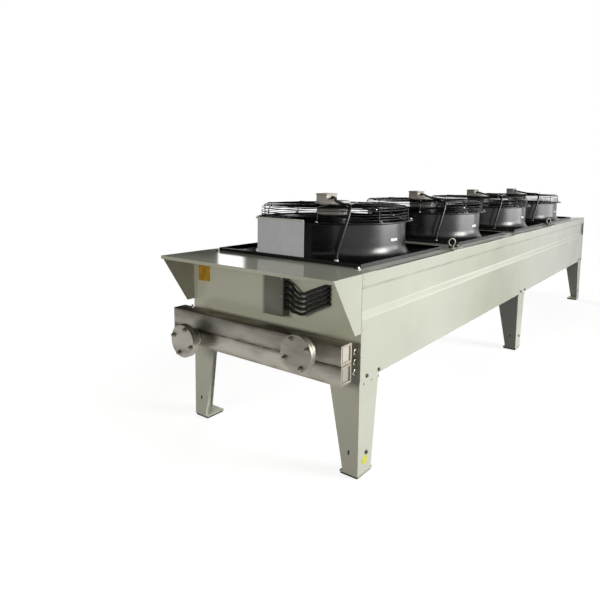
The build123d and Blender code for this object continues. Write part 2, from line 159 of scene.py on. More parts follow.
def turned(profile, segments, closed=False):
    """Outline of (radius, height) turned about Z. A radius of 0 makes a pole."""
    points, rows, faces = [], [], []
    for radius, height in profile:
        count = segments if radius > 0 else 1
        rows.append([len(points) + k for k in range(count)])
        for k in range(count):
            angle = 2 * math.pi * k / segments
            points.append((radius * math.cos(angle), radius * math.sin(angle), height))
    onward = rows[1:] + rows[:1] if closed else rows[1:]
    for low, high in zip(rows, onward):
        for k in range(segments):
            after = (k + 1) % segments
            foot = low[k % len(low)], low[after % len(low)]
            top = high[after % len(high)], high[k % len(high)]
            faces.append(list(dict.fromkeys(foot + top)))
    return np.array(points), faces


def placed(part, place, axis=(0, 0, 1), turn=0.0):
    """Part built along +Z, turned about itself and stood at a place along an axis."""
    swing = Vector((0, 0, 1)).rotation_difference(Vector(axis)).to_matrix()
    matrix = np.array(swing @ Matrix.Rotation(turn, 3, "Z"))
    return np.asarray(part[0]) @ matrix.T + np.array(place), part[1]


def joined(parts):
    """Several parts as one."""
    points, faces, start = [], [], 0
    for part_points, part_faces in parts:
        points.append(np.asarray(part_points))
        faces += [[index + start for index in face] for face in part_faces]
        start += len(part_points)
    return np.vstack(points), faces


def scaled(part, size):
    """Part of unit size drawn out to a size."""
    return part[0] * np.array(size), part[1]


def piece(name, parts, finish, body="root", smooth=40, stands_for=None):
    """One mesh piece riding on a body, rounded in shading below an angle, in place of a CAD node."""
    points, faces = joined(parts)
    mesh = bpy.data.meshes.new(name)
    mesh.from_pydata(points.tolist(), [], faces)
    work = bmesh.new()
    work.from_mesh(mesh)
    bmesh.ops.recalc_face_normals(work, faces=work.faces[:])
    work.to_mesh(mesh)
    work.free()
    mesh.shade_smooth()
    mesh.set_sharp_from_angle(angle=math.radians(smooth))
    mesh.materials.append(finish)
    made = bpy.data.objects.new(name, mesh)
    bpy.context.scene.collection.objects.link(made)
    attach(made, body)
    if stands_for:
        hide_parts(stands_for)


def hex_bolt(across, height, washer=2.1):
    """Hex head with a chamfered top on a round washer."""
    corner, thin = across / math.sqrt(3), across * 0.12
    rim = washer * across / 2
    disc = [(0, 0), (rim, 0), (rim, thin * 0.7), (rim - thin * 0.3, thin), (0, thin)]
    top = thin + height
    head = [(0, thin), (corner, thin), (corner, top - height * 0.15), (corner * 0.86, top), (0, top)]
    return joined([turned(disc, 24), turned(head, 6)])


def dome_rivet(radius):
    """Low round rivet or screw head."""
    steps = [math.radians(angle) for angle in (0, 25, 50, 72)]
    outline = [(radius * math.cos(a), radius * 0.55 * math.sin(a)) for a in steps]
    return turned([(0, 0), *outline, (0, radius * 0.55)], 16)


def mottled(name, dark, pale, roughness, size, metallic=0.0, sharp=False, **drawn):
    """Finish clouded between two colours by noise of a size. A pair as roughness follows the noise."""
    spread = roughness if isinstance(roughness, tuple) else (roughness, roughness)
    finish = new_finish(name, pale, spread[0], metallic)
    cloud = grain(finish, size, **drawn)
    share = graded(finish, cloud, 0.3, 0.7, 0.0, 1.0) if sharp else cloud
    feed(finish, "Base Color", tint(finish, share, dark, pale))
    if spread[0] != spread[1]:
        feed(finish, "Roughness", graded(finish, cloud, 0.3, 0.7, *spread))
    return finish


def zinc_plate(name, dark, pale, roughness):
    """Zinc plating with faint spangle and grey handling marks."""
    finish = mottled(name, dark, pale, roughness, 0.004, metallic=1.0)
    marks = grain(finish, 0.012)
    feed(finish, "Roughness", graded(finish, marks, 0.3, 0.7, roughness - 0.1, roughness + 0.12))
    return finish


casing_paint = powder_coat("casing_paint_satin", colour(204, 206, 191), 0.22)
zinc = zinc_plate("zinc_bright", colour(158, 158, 154), colour(206, 206, 202), 0.3)
dull_zinc = zinc_plate("zinc_dull", colour(92, 92, 86), colour(136, 135, 126), 0.44)
leg_names = [f"leg_{row}_{side}" for row in ("front", "middle", "rear") for side in ("left", "right")]
coat_nodes(casing_paint, *leg_names)

leg_bolt, leg_screw, earth_bolt = hex_bolt(0.014, 0.007, 1.7), dome_rivet(0.0055), hex_bolt(0.013, 0.008)
leg_bolt_reaches, leg_bolt_rise, leg_bolt_turn = (0.064, 0.185), 0.017, 40
leg_screw_reaches, leg_screw_drop = (0.043, 0.120, 0.188), 0.020
earth_reach, earth_height, earth_turn = 0.080, 0.118, 0.3
plug_reach, plug_height, plug_sink = 0.056, 0.128, 0.001
plug_width, plug_length, plug_thick = 0.0115, 0.0255, 0.005
leg_inset = 0.0025
casing_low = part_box("side_panel_right")[0].z
casing_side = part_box("side_panel_right")[1].x
leg_bolts, slot_plugs = [], []
plug = turned([(0, 0), (0.5, 0), (0.5, 0.7), (0.42, 1.0), (0, 1.0)], 24)
plug = scaled(plug, (plug_length, plug_width, plug_thick))
for leg_name in leg_names:
    leg_low, leg_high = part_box(leg_name)
    side = 1 if leg_high.x > 0 else -1
    onward = -1 if "rear" in leg_name else 1
    corner_y = leg_high.y if onward < 0 else leg_low.y
    leg_face = side * (casing_side - leg_inset)
    for reach in leg_bolt_reaches:
        spot = (side * casing_side, corner_y + onward * reach, casing_low + leg_bolt_rise)
        leg_bolts.append(placed(leg_bolt, spot, (side, 0, 0), reach * leg_bolt_turn))
    for reach in leg_screw_reaches:
        spot = (leg_face, corner_y + onward * reach, casing_low - leg_screw_drop)
        leg_bolts.append(placed(leg_screw, spot, (side, 0, 0)))
    earth_spot = (leg_face, corner_y + onward * earth_reach, earth_height)
    leg_bolts.append(placed(earth_bolt, earth_spot, (side, 0, 0), earth_turn))
    plug_y = corner_y + onward * (plug_thick - plug_sink)
    plug_spot = (leg_face - side * plug_reach, plug_y, plug_height)
    slot_plugs.append(placed(plug, plug_spot, (0, -onward, 0), math.radians(90)))
piece("leg_bolts", leg_bolts, dull_zinc)


# Earth marker
# A plain yellow oval of thin film, stuck on by hand below the earth stud on the front leg at the
# right. It carries no sign.

marker_width, marker_length, marker_thick = 0.046, 0.050, 0.0006
marker_reach, marker_height = 0.066, 0.082
sticker = mottled("marker_yellow", colour(204, 202, 36), colour(232, 230, 74), 0.45, 0.01, sharp=True)
oval = turned([(0, 0), (0.5, 0), (0.5, 0.8), (0.47, 1.0), (0, 1.0)], 32)
oval = scaled(oval, (marker_length, marker_width, marker_thick))
marker_spot = (casing_side - leg_inset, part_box("leg_front_right")[0].y + marker_reach, marker_height)
piece("earth_marker", [placed(oval, marker_spot, (1, 0, 0))], sticker)


# Rubber pads and slot plugs
# Dull black rubber pads laid loose under the base plates, with a dusty bloom, and moulded plugs
# pressed into the slots in the legs.

def black_rubber(name, roughness):
    """Dull black rubber with a dusty bloom."""
    spread = (roughness - 0.1, roughness + 0.1)
    finish = mottled(name, colour(14, 14, 15), colour(32, 31, 31), spread, 0.03, detail=5.0)
    relief(finish, grain(finish, 0.0015, detail=2.0), 0.0001)
    return finish


pad_rubber = black_rubber("pad_rubber", 0.62)
coat_nodes(pad_rubber, "foot_pads")
piece("leg_slot_plugs", slot_plugs, pad_rubber)


# Coil
# Thin aluminium fins pressed onto tubes, open to the air from below. The fins' lower edges run
# across the unit. The block behind them is painted dark in bands, as painted shade for its depth.

fin_pitch, fin_edge, fin_drop = 0.006, 0.0006, 0.006
coil_low, coil_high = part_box("coil_fin_block")
fin_finish = mottled("fin_aluminium_bare", colour(168, 171, 176), colour(214, 216, 219), (0.3, 0.5), 0.08,
                     metallic=1.0, stretch=(4, 1, 1))
# Painted shade: the dark banded colour of the fin block stands in for the shade deep between the fins.
core_shade_finish = new_finish("coil_core_painted_shade", colour(70, 72, 74), 0.6, metallic=0.6)
stripes = node(core_shade_finish, "TexWave", {"Vector": place_in_unit(core_shade_finish), "Scale": 26.0},
               bands_direction="Y").outputs["Fac"]
feed(core_shade_finish, "Base Color", tint(core_shade_finish, stripes, colour(38, 39, 41), colour(96, 98, 101)))
coat_nodes(core_shade_finish, "coil_fin_block")
fin_rows = np.arange(coil_low.y + fin_pitch, coil_high.y - fin_pitch, fin_pitch)
fin_corners = np.array([(x, y, z) for x in (0, 1) for y in (0, 1) for z in (0, 1)], float)
fin_size = np.array((coil_high.x - coil_low.x, fin_edge, fin_drop))
fin_faces = [[0, 1, 3, 2], [4, 6, 7, 5], [0, 4, 5, 1], [2, 3, 7, 6], [0, 2, 6, 4], [1, 5, 7, 3]]
fins = [(fin_corners * fin_size + (coil_low.x, y, coil_low.z - fin_drop), fin_faces) for y in fin_rows]
piece("coil_fin_edges", fins, fin_finish)


# Casing panels
# Folded sheet sides with a shallow recess, plain end panels and deck strips, powder coated and
# riveted at the corners. The sides carry painted highlights along the top edge and folds, weaker
# near the front end, and a patchy painted shadow under the top band.

def near_levels(finish, levels, half, strength):
    """Share that stands at a strength on given heights and fades out within a half width."""
    height = node(finish, "SeparateXYZ", {"Vector": place_in_unit(finish)}).outputs["Z"]
    share = None
    for level in levels:
        away = sums(finish, "ABSOLUTE", sums(finish, "SUBTRACT", height, level), 0.0)
        near = graded(finish, away, 0.0, half, strength, 0.0)
        share = near if share is None else sums(finish, "MAXIMUM", share, near)
    return share


end_low, end_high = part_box("front_end_panel")
rear_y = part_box("rear_end_panel")[1].y
band_height, recess_height, step_height = 0.068, 0.128, 0.034
highlight_half, highlight_fade = 0.005, 1.3
shadow_below, shadow_half, shadow_strength = 0.004, 0.013, 0.85
band_low = end_high.z - band_height
recess_low = band_low - recess_height
side_paint = powder_coat("side_paint_satin", colour(204, 206, 191), 0.15)
clean_coat = shader_of(side_paint).inputs["Base Color"].links[0].from_socket
fold_levels = (end_high.z, recess_low, recess_low - step_height)
# Painted highlight: pale lines on the top edge and the recess folds stand in for light caught on the bends,
# fading towards the front end.
fold_highlight = near_levels(side_paint, fold_levels, highlight_half, 1.0)
along_unit = node(side_paint, "SeparateXYZ", {"Vector": place_in_unit(side_paint)}).outputs["Y"]
highlight_share = graded(side_paint, along_unit, end_low.y, end_low.y + highlight_fade, 0.15, 1.0)
painted_highlight = sums(side_paint, "MULTIPLY", fold_highlight, highlight_share)
highlighted_coat = tint(side_paint, painted_highlight, clean_coat, colour(240, 242, 230))
# Painted shadow: a patchy dark line just under the top band stands in for the band's shadow on the recess.
band_shadow = near_levels(side_paint, (band_low - shadow_below,), shadow_half, shadow_strength)
patchy = graded(side_paint, grain(side_paint, 0.10, stretch=(1, 2, 1)), 0.4, 0.6, 0.4, 1.0)
patchy_band_shadow = sums(side_paint, "MULTIPLY", band_shadow, patchy)
feed(side_paint, "Base Color", tint(side_paint, patchy_band_shadow, highlighted_coat, colour(138, 138, 124)))
coat_nodes(side_paint, "side_panel_left", "side_panel_right")
coat_nodes(casing_paint, "front_end_panel", "rear_end_panel")
deck_paint = powder_coat("deck_paint_gloss", colour(186, 188, 174), 0.13)
coat_nodes(deck_paint, "deck_strips", "rear_top_cover")
panel_rivet = dome_rivet(0.0042)
rivet_inset, side_drops = 0.024, (0.025, 0.055, 0.280, 0.420)
rear_shares, rear_drops = (-0.94, -0.47, 0.0, 0.47, 0.94), (0.03, 0.5)
panel_rivets = []
for side in (-1, 1):
    for corner_y, onward in ((end_low.y, 1), (rear_y, -1)):
        for drop in side_drops:
            spot = (side * casing_side, corner_y + onward * rivet_inset, end_high.z - drop)
            panel_rivets.append(placed(panel_rivet, spot, (side, 0, 0)))
for share in rear_shares:
    for drop in rear_drops:
        spot = (share * casing_side, rear_y, end_high.z - drop)
        panel_rivets.append(placed(panel_rivet, spot, (0, 1, 0)))
piece("panel_rivets", panel_rivets, casing_paint)


# Corner joints
# Thin beads of dark sealant, run in by hand where the side panels and the hood's cheeks meet the
# end panels, and wider ones along the outer edges of the deck.

def sealant_bead(start, end, across, outward, half):
    """Low half-round bead between two points, wide along one way and raised along another."""
    arc = np.linspace(0, math.pi, 7)[:, None]
    line = np.cos(arc) * half * np.array(across) + np.sin(arc) * seal_proud * np.array(outward)
    rows = [np.array(place) + line for place in (start, end)]
    return np.vstack(rows), [[k, k + 1, k + 8, k + 7] for k in range(6)]


seal_half, deck_seal_half, seal_proud = 0.0014, 0.004, 0.0005
rear_seal_inset, deck_seal_inset, deck_seal_stop = 0.0025, 0.006, 0.01
sealant = mottled("joint_sealant", colour(58, 58, 53), colour(92, 92, 84), 0.6, 0.01)
deck_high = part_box("deck_strips")[1]
deck_ends = (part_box("hood_top")[1].y, rear_y - deck_seal_stop)
seals, deck_seals = [], []
for side in (-1, 1):
    for joint_y in (end_low.y, rear_y - rear_seal_inset):
        foot = end_low.z if joint_y > 0 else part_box("hood_cheek_right")[0].z
        ends = [(side * casing_side, joint_y, z) for z in (foot, end_high.z)]
        seals.append(sealant_bead(*ends, (0, 1, 0), (side, 0, 0), seal_half))
    ends = [(side * (deck_high.x - deck_seal_inset), y, deck_high.z) for y in deck_ends]
    deck_seals.append(sealant_bead(*ends, (1, 0, 0), (0, 0, 1), deck_seal_half))
piece("corner_seals", seals, sealant)
piece("deck_edge_seals", deck_seals, sealant)


# Headers
# Two stacked stainless chambers folded and seam welded, brushed lengthways, with sunk end caps
# and brown heat tint along the welds. The upper one has gone duller.

def stainless(name, seams, tinting, roughness):
    """Brushed stainless with brown heat tint of a strength near level seams."""
    finish = new_finish(name, colour(164, 160, 149), roughness, metallic=1.0)
    brushed = grain(finish, 0.0016, stretch=(60, 1, 1), detail=4.0)
    smear = grain(finish, 0.05, stretch=(3, 1, 1), detail=4.0)
    steel = tint(finish, brushed, colour(146, 142, 131), colour(188, 184, 173))
    heat = near_levels(finish, seams, 0.022, tinting)
    share = sums(finish, "MULTIPLY", heat, graded(finish, smear, 0.3, 0.7, 0.25, 0.95))
    stained = tint(finish, share, steel, colour(98, 86, 68))
    grime = graded(finish, smear, 0.5, 0.8, 0.0, 0.4)
    feed(finish, "Base Color", tint(finish, grime, stained, colour(116, 109, 96)))
    gloss = graded(finish, smear, 0.3, 0.7, roughness - 0.08, roughness + 0.08)
    feed(finish, "Roughness", gloss)
    relief(finish, brushed, 0.00008, 0.6)
    return finish


def rounded_outline(half_a, half_b, corner, steps=4):
    """Rounded rectangle about the origin."""
    outline = []
    for quarter, (sign_a, sign_b) in enumerate(((1, 1), (-1, 1), (-1, -1), (1, -1))):
        for step in range(steps + 1):
            angle = math.radians(90 * (quarter + step / steps))
            a = sign_a * (half_a - corner) + corner * math.cos(angle)
            b = sign_b * (half_b - corner) + corner * math.sin(angle)
            outline.append((a, b))
    return np.array(outline)


def loft(rings):
    """Skin through a row of like outlines, closed at both ends."""
    count, faces = len(rings[0]), []
    for row in range(len(rings) - 1):
        for k in range(count):
            here, after = row * count + k, row * count + (k + 1) % count
            faces.append([here, after, after + count, here + count])
    faces.append(list(range(count)))
    faces.append([(len(rings) - 1) * count + k for k in range(count)])
    return np.vstack(rings), faces


def centre_of(low, high):
    """Middle of a box."""
    return tuple((a + b) / 2 for a, b in zip(low, high))


lower_low, lower_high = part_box("header_lower")
upper_low, upper_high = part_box("header_upper")
header_front, header_back = lower_low.y, lower_high.y
header_corner, cap_frame, cap_sink = 0.004, 0.011, 0.004
seam_levels = (lower_low.z, lower_high.z, upper_high.z)
header_steel = stainless("header_stainless", seam_levels, 0.9, 0.32)
upper_steel = stainless("header_upper_stainless", seam_levels, 0.9, 0.5)


def header_chamber(low, high):
    """Chamber with rounded long edges and a sunk cap welded into each end."""
    half_y, half_z = (high.y - low.y) / 2, (high.z - low.z) / 2
    outer = rounded_outline(half_y, half_z, header_corner)
    inner = rounded_outline(half_y - cap_frame, half_z - cap_frame, header_corner / 2)
    rows = [
        (low.x + cap_sink, inner * 0.96), (low.x + cap_sink * 0.7, inner), (low.x, inner),
        (low.x, outer), (high.x, outer),
        (high.x, inner), (high.x - cap_sink * 0.7, inner), (high.x - cap_sink, inner * 0.96),
    ]
    middle = np.array(centre_of(low, high)[1:])
    return loft([np.column_stack((np.full(len(flat), x), flat + middle)) for x, flat in rows])


for name, steel in (("header_lower", header_steel), ("header_upper", upper_steel)):
    chamber = header_chamber(*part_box(name))
    piece(f"{name}_chamber", [chamber], steel, smooth=30, stands_for=name)


# Header welds
# A run of bead along the joint of the two chambers, broken into stitches, with a bead round
# each end cap and pipe stub.

def wire(path, radius, normal, sides=6, closed=False):
    """Round wire along a flat path, whose plane has a normal."""
    path = np.asarray(path, float)
    ahead = np.roll(path, -1, 0) - np.roll(path, 1, 0)
    if not closed:
        ahead[0], ahead[-1] = path[1] - path[0], path[-1] - path[-2]
    ahead /= np.linalg.norm(ahead, axis=1)[:, None]
    normal = np.asarray(normal, float)
    across = np.cross(normal, ahead)
    rings = []
    for k in range(sides):
        angle = 2 * math.pi * k / sides
        rings.append(path + radius * (math.cos(angle) * normal + math.sin(angle) * across))
    points = np.stack(rings, 1).reshape(-1, 3)
    faces, count = [], len(path)
    for row in range(count if closed else count - 1):
        for k in range(sides):
            here, there = row * sides, ((row + 1) % count) * sides
            after = (k + 1) % sides
            faces.append([here + k, here + after, there + after, there + k])
    if not closed:
        faces.append(list(range(sides)))
        faces.append([(count - 1) * sides + k for k in range(sides)])
    return points, faces


bead_radius, bead_ripple, cap_bead_radius = 0.0028, 0.0006, 0.0018
stitch_length, stitch_pitch, stitch_margin, stitch_points = 0.060, 0.105, 0.03, 21
weld_finish = mottled("weld_bead", colour(92, 80, 68), colour(176, 168, 156), 0.42, 0.004, metallic=1.0)
relief(weld_finish, grain(weld_finish, 0.003), 0.0006)
welds = []
bead_front = np.full(stitch_points, header_front + header_corner * 0.6)
for index in range(int((lower_high.x - lower_low.x - 2 * stitch_margin) / stitch_pitch)):
    first = lower_low.x + stitch_margin + index * stitch_pitch
    along = np.linspace(first, first + stitch_length, stitch_points)
    ripple = bead_ripple * np.sin(np.arange(stitch_points) * 1.9)
    path = np.column_stack((along, bead_front, lower_high.z + ripple))
    welds.append(wire(path, bead_radius, (0, 0, 1)))
for low, high in ((lower_low, lower_high), (upper_low, upper_high)):
    half_y, half_z = (high.y - low.y) / 2 - cap_frame, (high.z - low.z) / 2 - cap_frame
    loop = rounded_outline(half_y, half_z, header_corner / 2) + np.array(centre_of(low, high)[1:])
    for x_end in (low.x, high.x):
        path = np.column_stack((np.full(len(loop), x_end), loop))
        welds.append(wire(path, cap_bead_radius, (1, 0, 0), closed=True))


# Feeder tubes and return bends
# Short stainless tubes from the coil's end into the back of each header, with a few of the
# coil's return bends showing on the end panel beside the header.

feeder_radius, feeder_margin, feeder_columns = 0.008, 0.074, 8
panel_front = end_low.y
feeder_span = panel_front - header_back
feeder_outline = [
    (0, 0), (0.0115, 0), (0.0115, 0.004), (feeder_radius, 0.008),
    (feeder_radius, feeder_span), (0, feeder_span),
]
feeder_tube = turned(feeder_outline, 20)
tubes = []
for low, high in ((lower_low, lower_high), (upper_low, upper_high)):
    for x in np.linspace(low.x + feeder_margin, high.x - feeder_margin, feeder_columns):
        tubes.append(placed(feeder_tube, (x, panel_front, (low.z + high.z) / 2), (0, -1, 0)))
piece("feeder_tubes", tubes, header_steel, stands_for="header_feeders")
bend_x, bend_count, bend_rise, bend_pitch, bend_radius = 0.586, 3, 0.03, 0.052, 0.0048
bend_stand, bend_reach, bend_half = 0.012, 0.016, 0.014
sweep = np.linspace(0, math.pi, 17)
bends = []
for index in range(bend_count):
    level = lower_low.z + bend_rise + index * bend_pitch
    crown = panel_front - bend_stand - bend_reach * np.sin(sweep)
    path = np.column_stack((np.full(len(sweep), bend_x), crown, level + bend_half * np.cos(sweep)))
    path = np.vstack(([bend_x, panel_front, path[0][2]], path, [bend_x, panel_front, path[-1][2]]))
    bends.append(wire(path, bend_radius, (1, 0, 0), sides=12))
piece("return_bends", bends, header_steel)


# Pipe stubs and blank flanges
# A short pipe is welded to each header and ends in a bolting flange, closed by a blank plate of
# the same size with a gasket between. Stainless hex bolts with nuts clamp the pair.

def circle(centre, radius, first, second, count):
    """Points round a circle that lies along two directions."""
    turns = np.linspace(0, 2 * math.pi, count, endpoint=False)[:, None]
    spokes = np.cos(turns) * np.asarray(first) + np.sin(turns) * np.asarray(second)
    return np.asarray(centre) + radius * spokes


pipe_radius, flange_thick, flange_edge, gasket_gap = 0.0445, 0.018, 0.0018, 0.0012
bolt_circle, bolt_count = 0.150, 4
flange_turns = {"inlet": -20.0, "outlet": 25.0}
stub_bead_out, stub_bead_radius, stub_bead_stand, stub_bead_points = 0.004, 0.0035, 0.002, 48
stub_ripple = bead_ripple * np.sin(17 * 2 * math.pi * np.arange(stub_bead_points) / stub_bead_points)
flange_steel = stainless("flange_stainless", seam_levels, 0.15, 0.4)
flange_bolt = hex_bolt(0.021, 0.011, 1.6)
bolt_end = turned([(0, 0), (0.0068, 0), (0.0068, 0.0175), (0.0055, 0.019), (0, 0.019)], 20)
flange_bolts, gaskets = [], []
for name, flange_turn in flange_turns.items():
    low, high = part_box(f"{name}_stub")
    x, _, z = centre_of(low, high)
    blind_low, blind_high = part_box(f"{name}_blind_flange")
    rim = (high.z - low.z) / 2
    reach = high.y - low.y
    back, face = reach - flange_thick, reach - gasket_gap
    neck = [
        (pipe_radius + 0.007, 0), (pipe_radius + 0.005, 0.004), (pipe_radius, 0.008),
        (pipe_radius, back - 0.006), (pipe_radius + 0.006, back), (rim - flange_edge, back),
        (rim, back + flange_edge), (rim, face - flange_edge), (rim - flange_edge, face), (0, face),
    ]
    stub = placed(turned(neck, 72), (x, high.y, z), (0, -1, 0))
    piece(f"{name}_stub_turned", [stub], flange_steel, smooth=30, stands_for=f"{name}_stub")
    cover = [
        (0, 0), (rim - flange_edge, 0), (rim, flange_edge), (rim, flange_thick - flange_edge),
        (rim - flange_edge, flange_thick), (0, flange_thick),
    ]
    blank = placed(turned(cover, 72), (x, blind_high.y, z), (0, -1, 0))
    piece(f"{name}_blank_plate", [blank], flange_steel, smooth=30,
          stands_for=f"{name}_blind_flange")
    gasket = [(0, 0), (rim * 0.7, 0), (rim * 0.7, gasket_gap), (0, gasket_gap)]
    gaskets.append(placed(turned(gasket, 48), (x, blind_high.y + gasket_gap, z), (0, -1, 0)))
    for index in range(bolt_count):
        angle = math.radians(90 + flange_turn + 360 * index / bolt_count)
        bolt_x, bolt_z = x + bolt_circle / 2 * math.cos(angle), z + bolt_circle / 2 * math.sin(angle)
        front, rear = (bolt_x, blind_low.y, bolt_z), (bolt_x, low.y + flange_thick, bolt_z)
        flange_bolts.append(placed(flange_bolt, front, (0, -1, 0), angle))
        flange_bolts.append(placed(bolt_end, front, (0, -1, 0)))
        flange_bolts.append(placed(flange_bolt, rear, (0, 1, 0), angle))
    bead_centre = (x, header_front - stub_bead_stand, z)
    loop = circle(bead_centre, pipe_radius + stub_bead_out, (1, 0, 0), (0, 0, 1), stub_bead_points)
    loop[:, 2] += stub_ripple
    welds.append(wire(loop, stub_bead_radius, (0, 1, 0), closed=True))
piece("header_weld_beads", welds, weld_finish)
piece("flange_bolts", flange_bolts, flange_steel)
piece("flange_gaskets", gaskets, pad_rubber)


# Vent plug
# A small hex vent with a round bleed screw, turned from plated steel and screwed into the upper
# header's top.

vent_low, vent_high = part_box("vent_plug")
vent_half = (vent_high.x - vent_low.x) / 2
vent_top = vent_high.z - vent_low.z
vent_spot = (*centre_of(vent_low, vent_high)[:2], vent_low.z)
vent_outlines = (
    (24, [(0, 0), (vent_half * 1.15, 0), (vent_half * 1.15, 0.003), (vent_half * 0.7, 0.004), (0, 0.004)]),
    (6, [(0, 0.004), (vent_half, 0.004), (vent_half, 0.014), (vent_half * 0.85, 0.0155), (0, 0.0155)]),
    (20, [(0, 0.0155), (0.0055, 0.0155), (0.0055, vent_top - 0.001), (0.0045, vent_top), (0, vent_top)]),
)
vent = joined([turned(outline, segments) for segments, outline in vent_outlines])
piece("vent_valve", [placed(vent, vent_spot)], zinc, stands_for="vent_plug")


# Hood
# A flat glossy top plate with a folded front lip over the pipe connections, on two slanted cheeks,
# bolted down at its rear corners. The plate's paint is smooth enough to mirror the fans.

hood_paint = powder_coat("hood_paint_gloss", colour(198, 200, 186), 0.09)
coat_nodes(hood_paint, "hood_top")
coat_nodes(casing_paint, "hood_cheek_left", "hood_cheek_right")
hood_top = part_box("hood_top")[1].z
hood_bolt, hood_bolt_inset, hood_bolt_back, hood_bolt_turn = hex_bolt(0.017, 0.010), 0.004, 0.022, 0.4
tray_low, tray_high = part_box("fan_plate_1")
hood_bolts = []
for side in (-1, 1):
    spot = (side * (tray_high.x - hood_bolt_inset), tray_low.y - hood_bolt_back, hood_top)
    hood_bolts.append(placed(hood_bolt, spot, (0, 0, 1), hood_bolt_turn))
piece("hood_bolts", hood_bolts, zinc)


# Blank patch
# A plain ochre patch of film, cut with round corners and stuck flat on the end panel under the
# hood. It is dull and a little stained.

patch_low, patch_high, patch_thick, patch_corner = (-0.568, 0.884), (-0.466, 0.993), 0.0006, 0.004
patch_film = mottled("patch_ochre", colour(160, 120, 30), colour(190, 148, 48), 0.5, 0.03, sharp=True)
patch_halves = [(high - low) / 2 for low, high in zip(patch_low, patch_high)]
flat = rounded_outline(*patch_halves, patch_corner) + np.array(centre_of(patch_low, patch_high))
patch_rows = []
for reach in (0.0, -patch_thick):
    patch_rows.append(np.column_stack((flat[:, 0], np.full(len(flat), end_low.y + reach), flat[:, 1])))
piece("blank_patch", [loft(patch_rows)], patch_film, smooth=30)


# Terminal box
# A shallow steel wall box under the hood, coated satin grey. Its folded lid stands proud, with a
# paler strip down the hinge side and three screws down the other.

def rounded_block(low, high, edge, steps=2):
    """Box with rounded edges."""
    work = bmesh.new()
    bmesh.ops.create_cube(work, size=1.0)
    for corner in work.verts:
        corner.co = [(a + b) / 2 + (b - a) * c for a, b, c in zip(low, high, corner.co)]
    bmesh.ops.bevel(work, geom=work.edges[:], offset=edge, segments=steps, profile=0.5, affect="EDGES")
    work.verts.index_update()
    points = [tuple(corner.co) for corner in work.verts]
    faces = [[corner.index for corner in face.verts] for face in work.faces]
    work.free()
    return np.array(points), faces


box_paint = powder_coat("box_paint_grey", colour(116, 118, 111), 0.34)
strip_paint = powder_coat("box_strip_light", colour(164, 163, 154), 0.34)
box_low, box_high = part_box("terminal_box")
lid_thick, lid_lip, lid_fold, lid_inset, hinge_strip = 0.003, 0.003, 0.016, 0.004, 0.018
lid_screw, lid_screw_inset, lid_screw_shares = dome_rivet(0.005), 0.012, (0.08, 0.5, 0.92)
left, front, foot = box_low
right, back, top = box_high
shell_low = (left + lid_lip, front + lid_thick, foot + lid_lip)
shell_high = (right - lid_lip, back, top - lid_lip)
lid_low = (left + hinge_strip, front, foot + lid_inset)
lid_high = (right - lid_inset, front + lid_thick, top - lid_inset)
shell = [
    rounded_block(shell_low, shell_high, 0.002),
    rounded_block((left, front + 0.001, foot), (right, front + lid_fold, top), 0.002),
    rounded_block(lid_low, lid_high, 0.001),
]
piece("terminal_box_shell", shell, box_paint, smooth=30, stands_for="terminal_box")
hinge = rounded_block((left + 0.001, front - 0.0005, foot + lid_inset),
                      (left + hinge_strip - 0.002, front + 0.004, top - lid_inset), 0.001)
piece("terminal_box_hinge", [hinge], strip_paint, smooth=30)
screw_spots = [(right - lid_screw_inset, front, foot + (top - foot) * share) for share in lid_screw_shares]
piece("lid_screws", [placed(lid_screw, spot, (0, -1, 0)) for spot in screw_spots], zinc)


# Box leads
# Five black rubber leads from glands in the box's side. Each sags under its own weight and goes
# back through the end panel, held at both ends.

def lead_run(name, routes, radius, finish, stands_for):
    """Round leads along smooth routes, in place of a CAD node."""
    curve = bpy.data.curves.new(name, "CURVE")
    curve.dimensions = "3D"
    curve.bevel_depth = radius
    curve.bevel_resolution = 4
    curve.resolution_u = 10
    curve.use_fill_caps = True
    for route in routes:
        spline = curve.splines.new("NURBS")
        spline.points.add(len(route) - 1)
        for point, spot in zip(spline.points, route):
            point.co = (*spot, 1.0)
        spline.order_u = 3
        spline.use_endpoint_u = True
    curve.materials.append(finish)
    made = bpy.data.objects.new(name, curve)
    bpy.context.scene.collection.objects.link(made)
    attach(made, "root")
    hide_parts(stands_for)


lead_radius, lead_count = 0.0080, 5
start_drop, start_pitch, sag_drop, sag_pitch, end_drop, end_pitch = 0.094, 0.034, 0.142, 0.027, 0.077, 0.024
sag_reach, end_reach, sag_forward = 0.100, 0.263, 0.008
lead_rubber = black_rubber("lead_rubber", 0.36)
box_right = box_high.x - lid_lip
box_middle_y = (box_low.y + box_high.y) / 2
forward_y = box_middle_y - sag_forward
gland = turned([
    (0, 0), (0.0125, 0), (0.0125, 0.004), (0.0115, 0.005),
    (0.0115, 0.014), (0.0095, 0.019), (0.0072, 0.021), (0, 0.021),
], 20)
box_routes, box_glands = [], []
for index in range(lead_count):
    start = end_high.z - start_drop - start_pitch * index
    low = end_high.z - sag_drop - sag_pitch * index
    end = end_high.z - end_drop - end_pitch * index
    route = [
        (box_right, box_middle_y, start),
        (box_right + 0.030, box_middle_y, start),
        (box_right + 0.052, box_middle_y - 0.004, start - 0.016),
        (box_right + 0.078, forward_y, low + 0.008),
        (box_right + sag_reach + 0.014, forward_y, low - 0.002),
        (box_right + 0.170, forward_y, (low + end) / 2 - 0.006),
        (box_right + end_reach - 0.018, forward_y, end - 0.008),
        (box_right + end_reach, forward_y, end),
        (box_right + end_reach, panel_front, end),
    ]
    box_routes.append(route)
    box_glands.append(placed(gland, route[0], (1, 0, 0)))
    box_glands.append(placed(gland, route[-1], (0, -1, 0)))
lead_run("box_leads_round", box_routes, lead_radius, lead_rubber, "box_leads")
piece("box_lead_glands", box_glands, lead_rubber)


# Fan trays
# Square black-coated trays with a low upturned rim, set into the deck, one under each fan, and
# held at the corners by hex bolts.

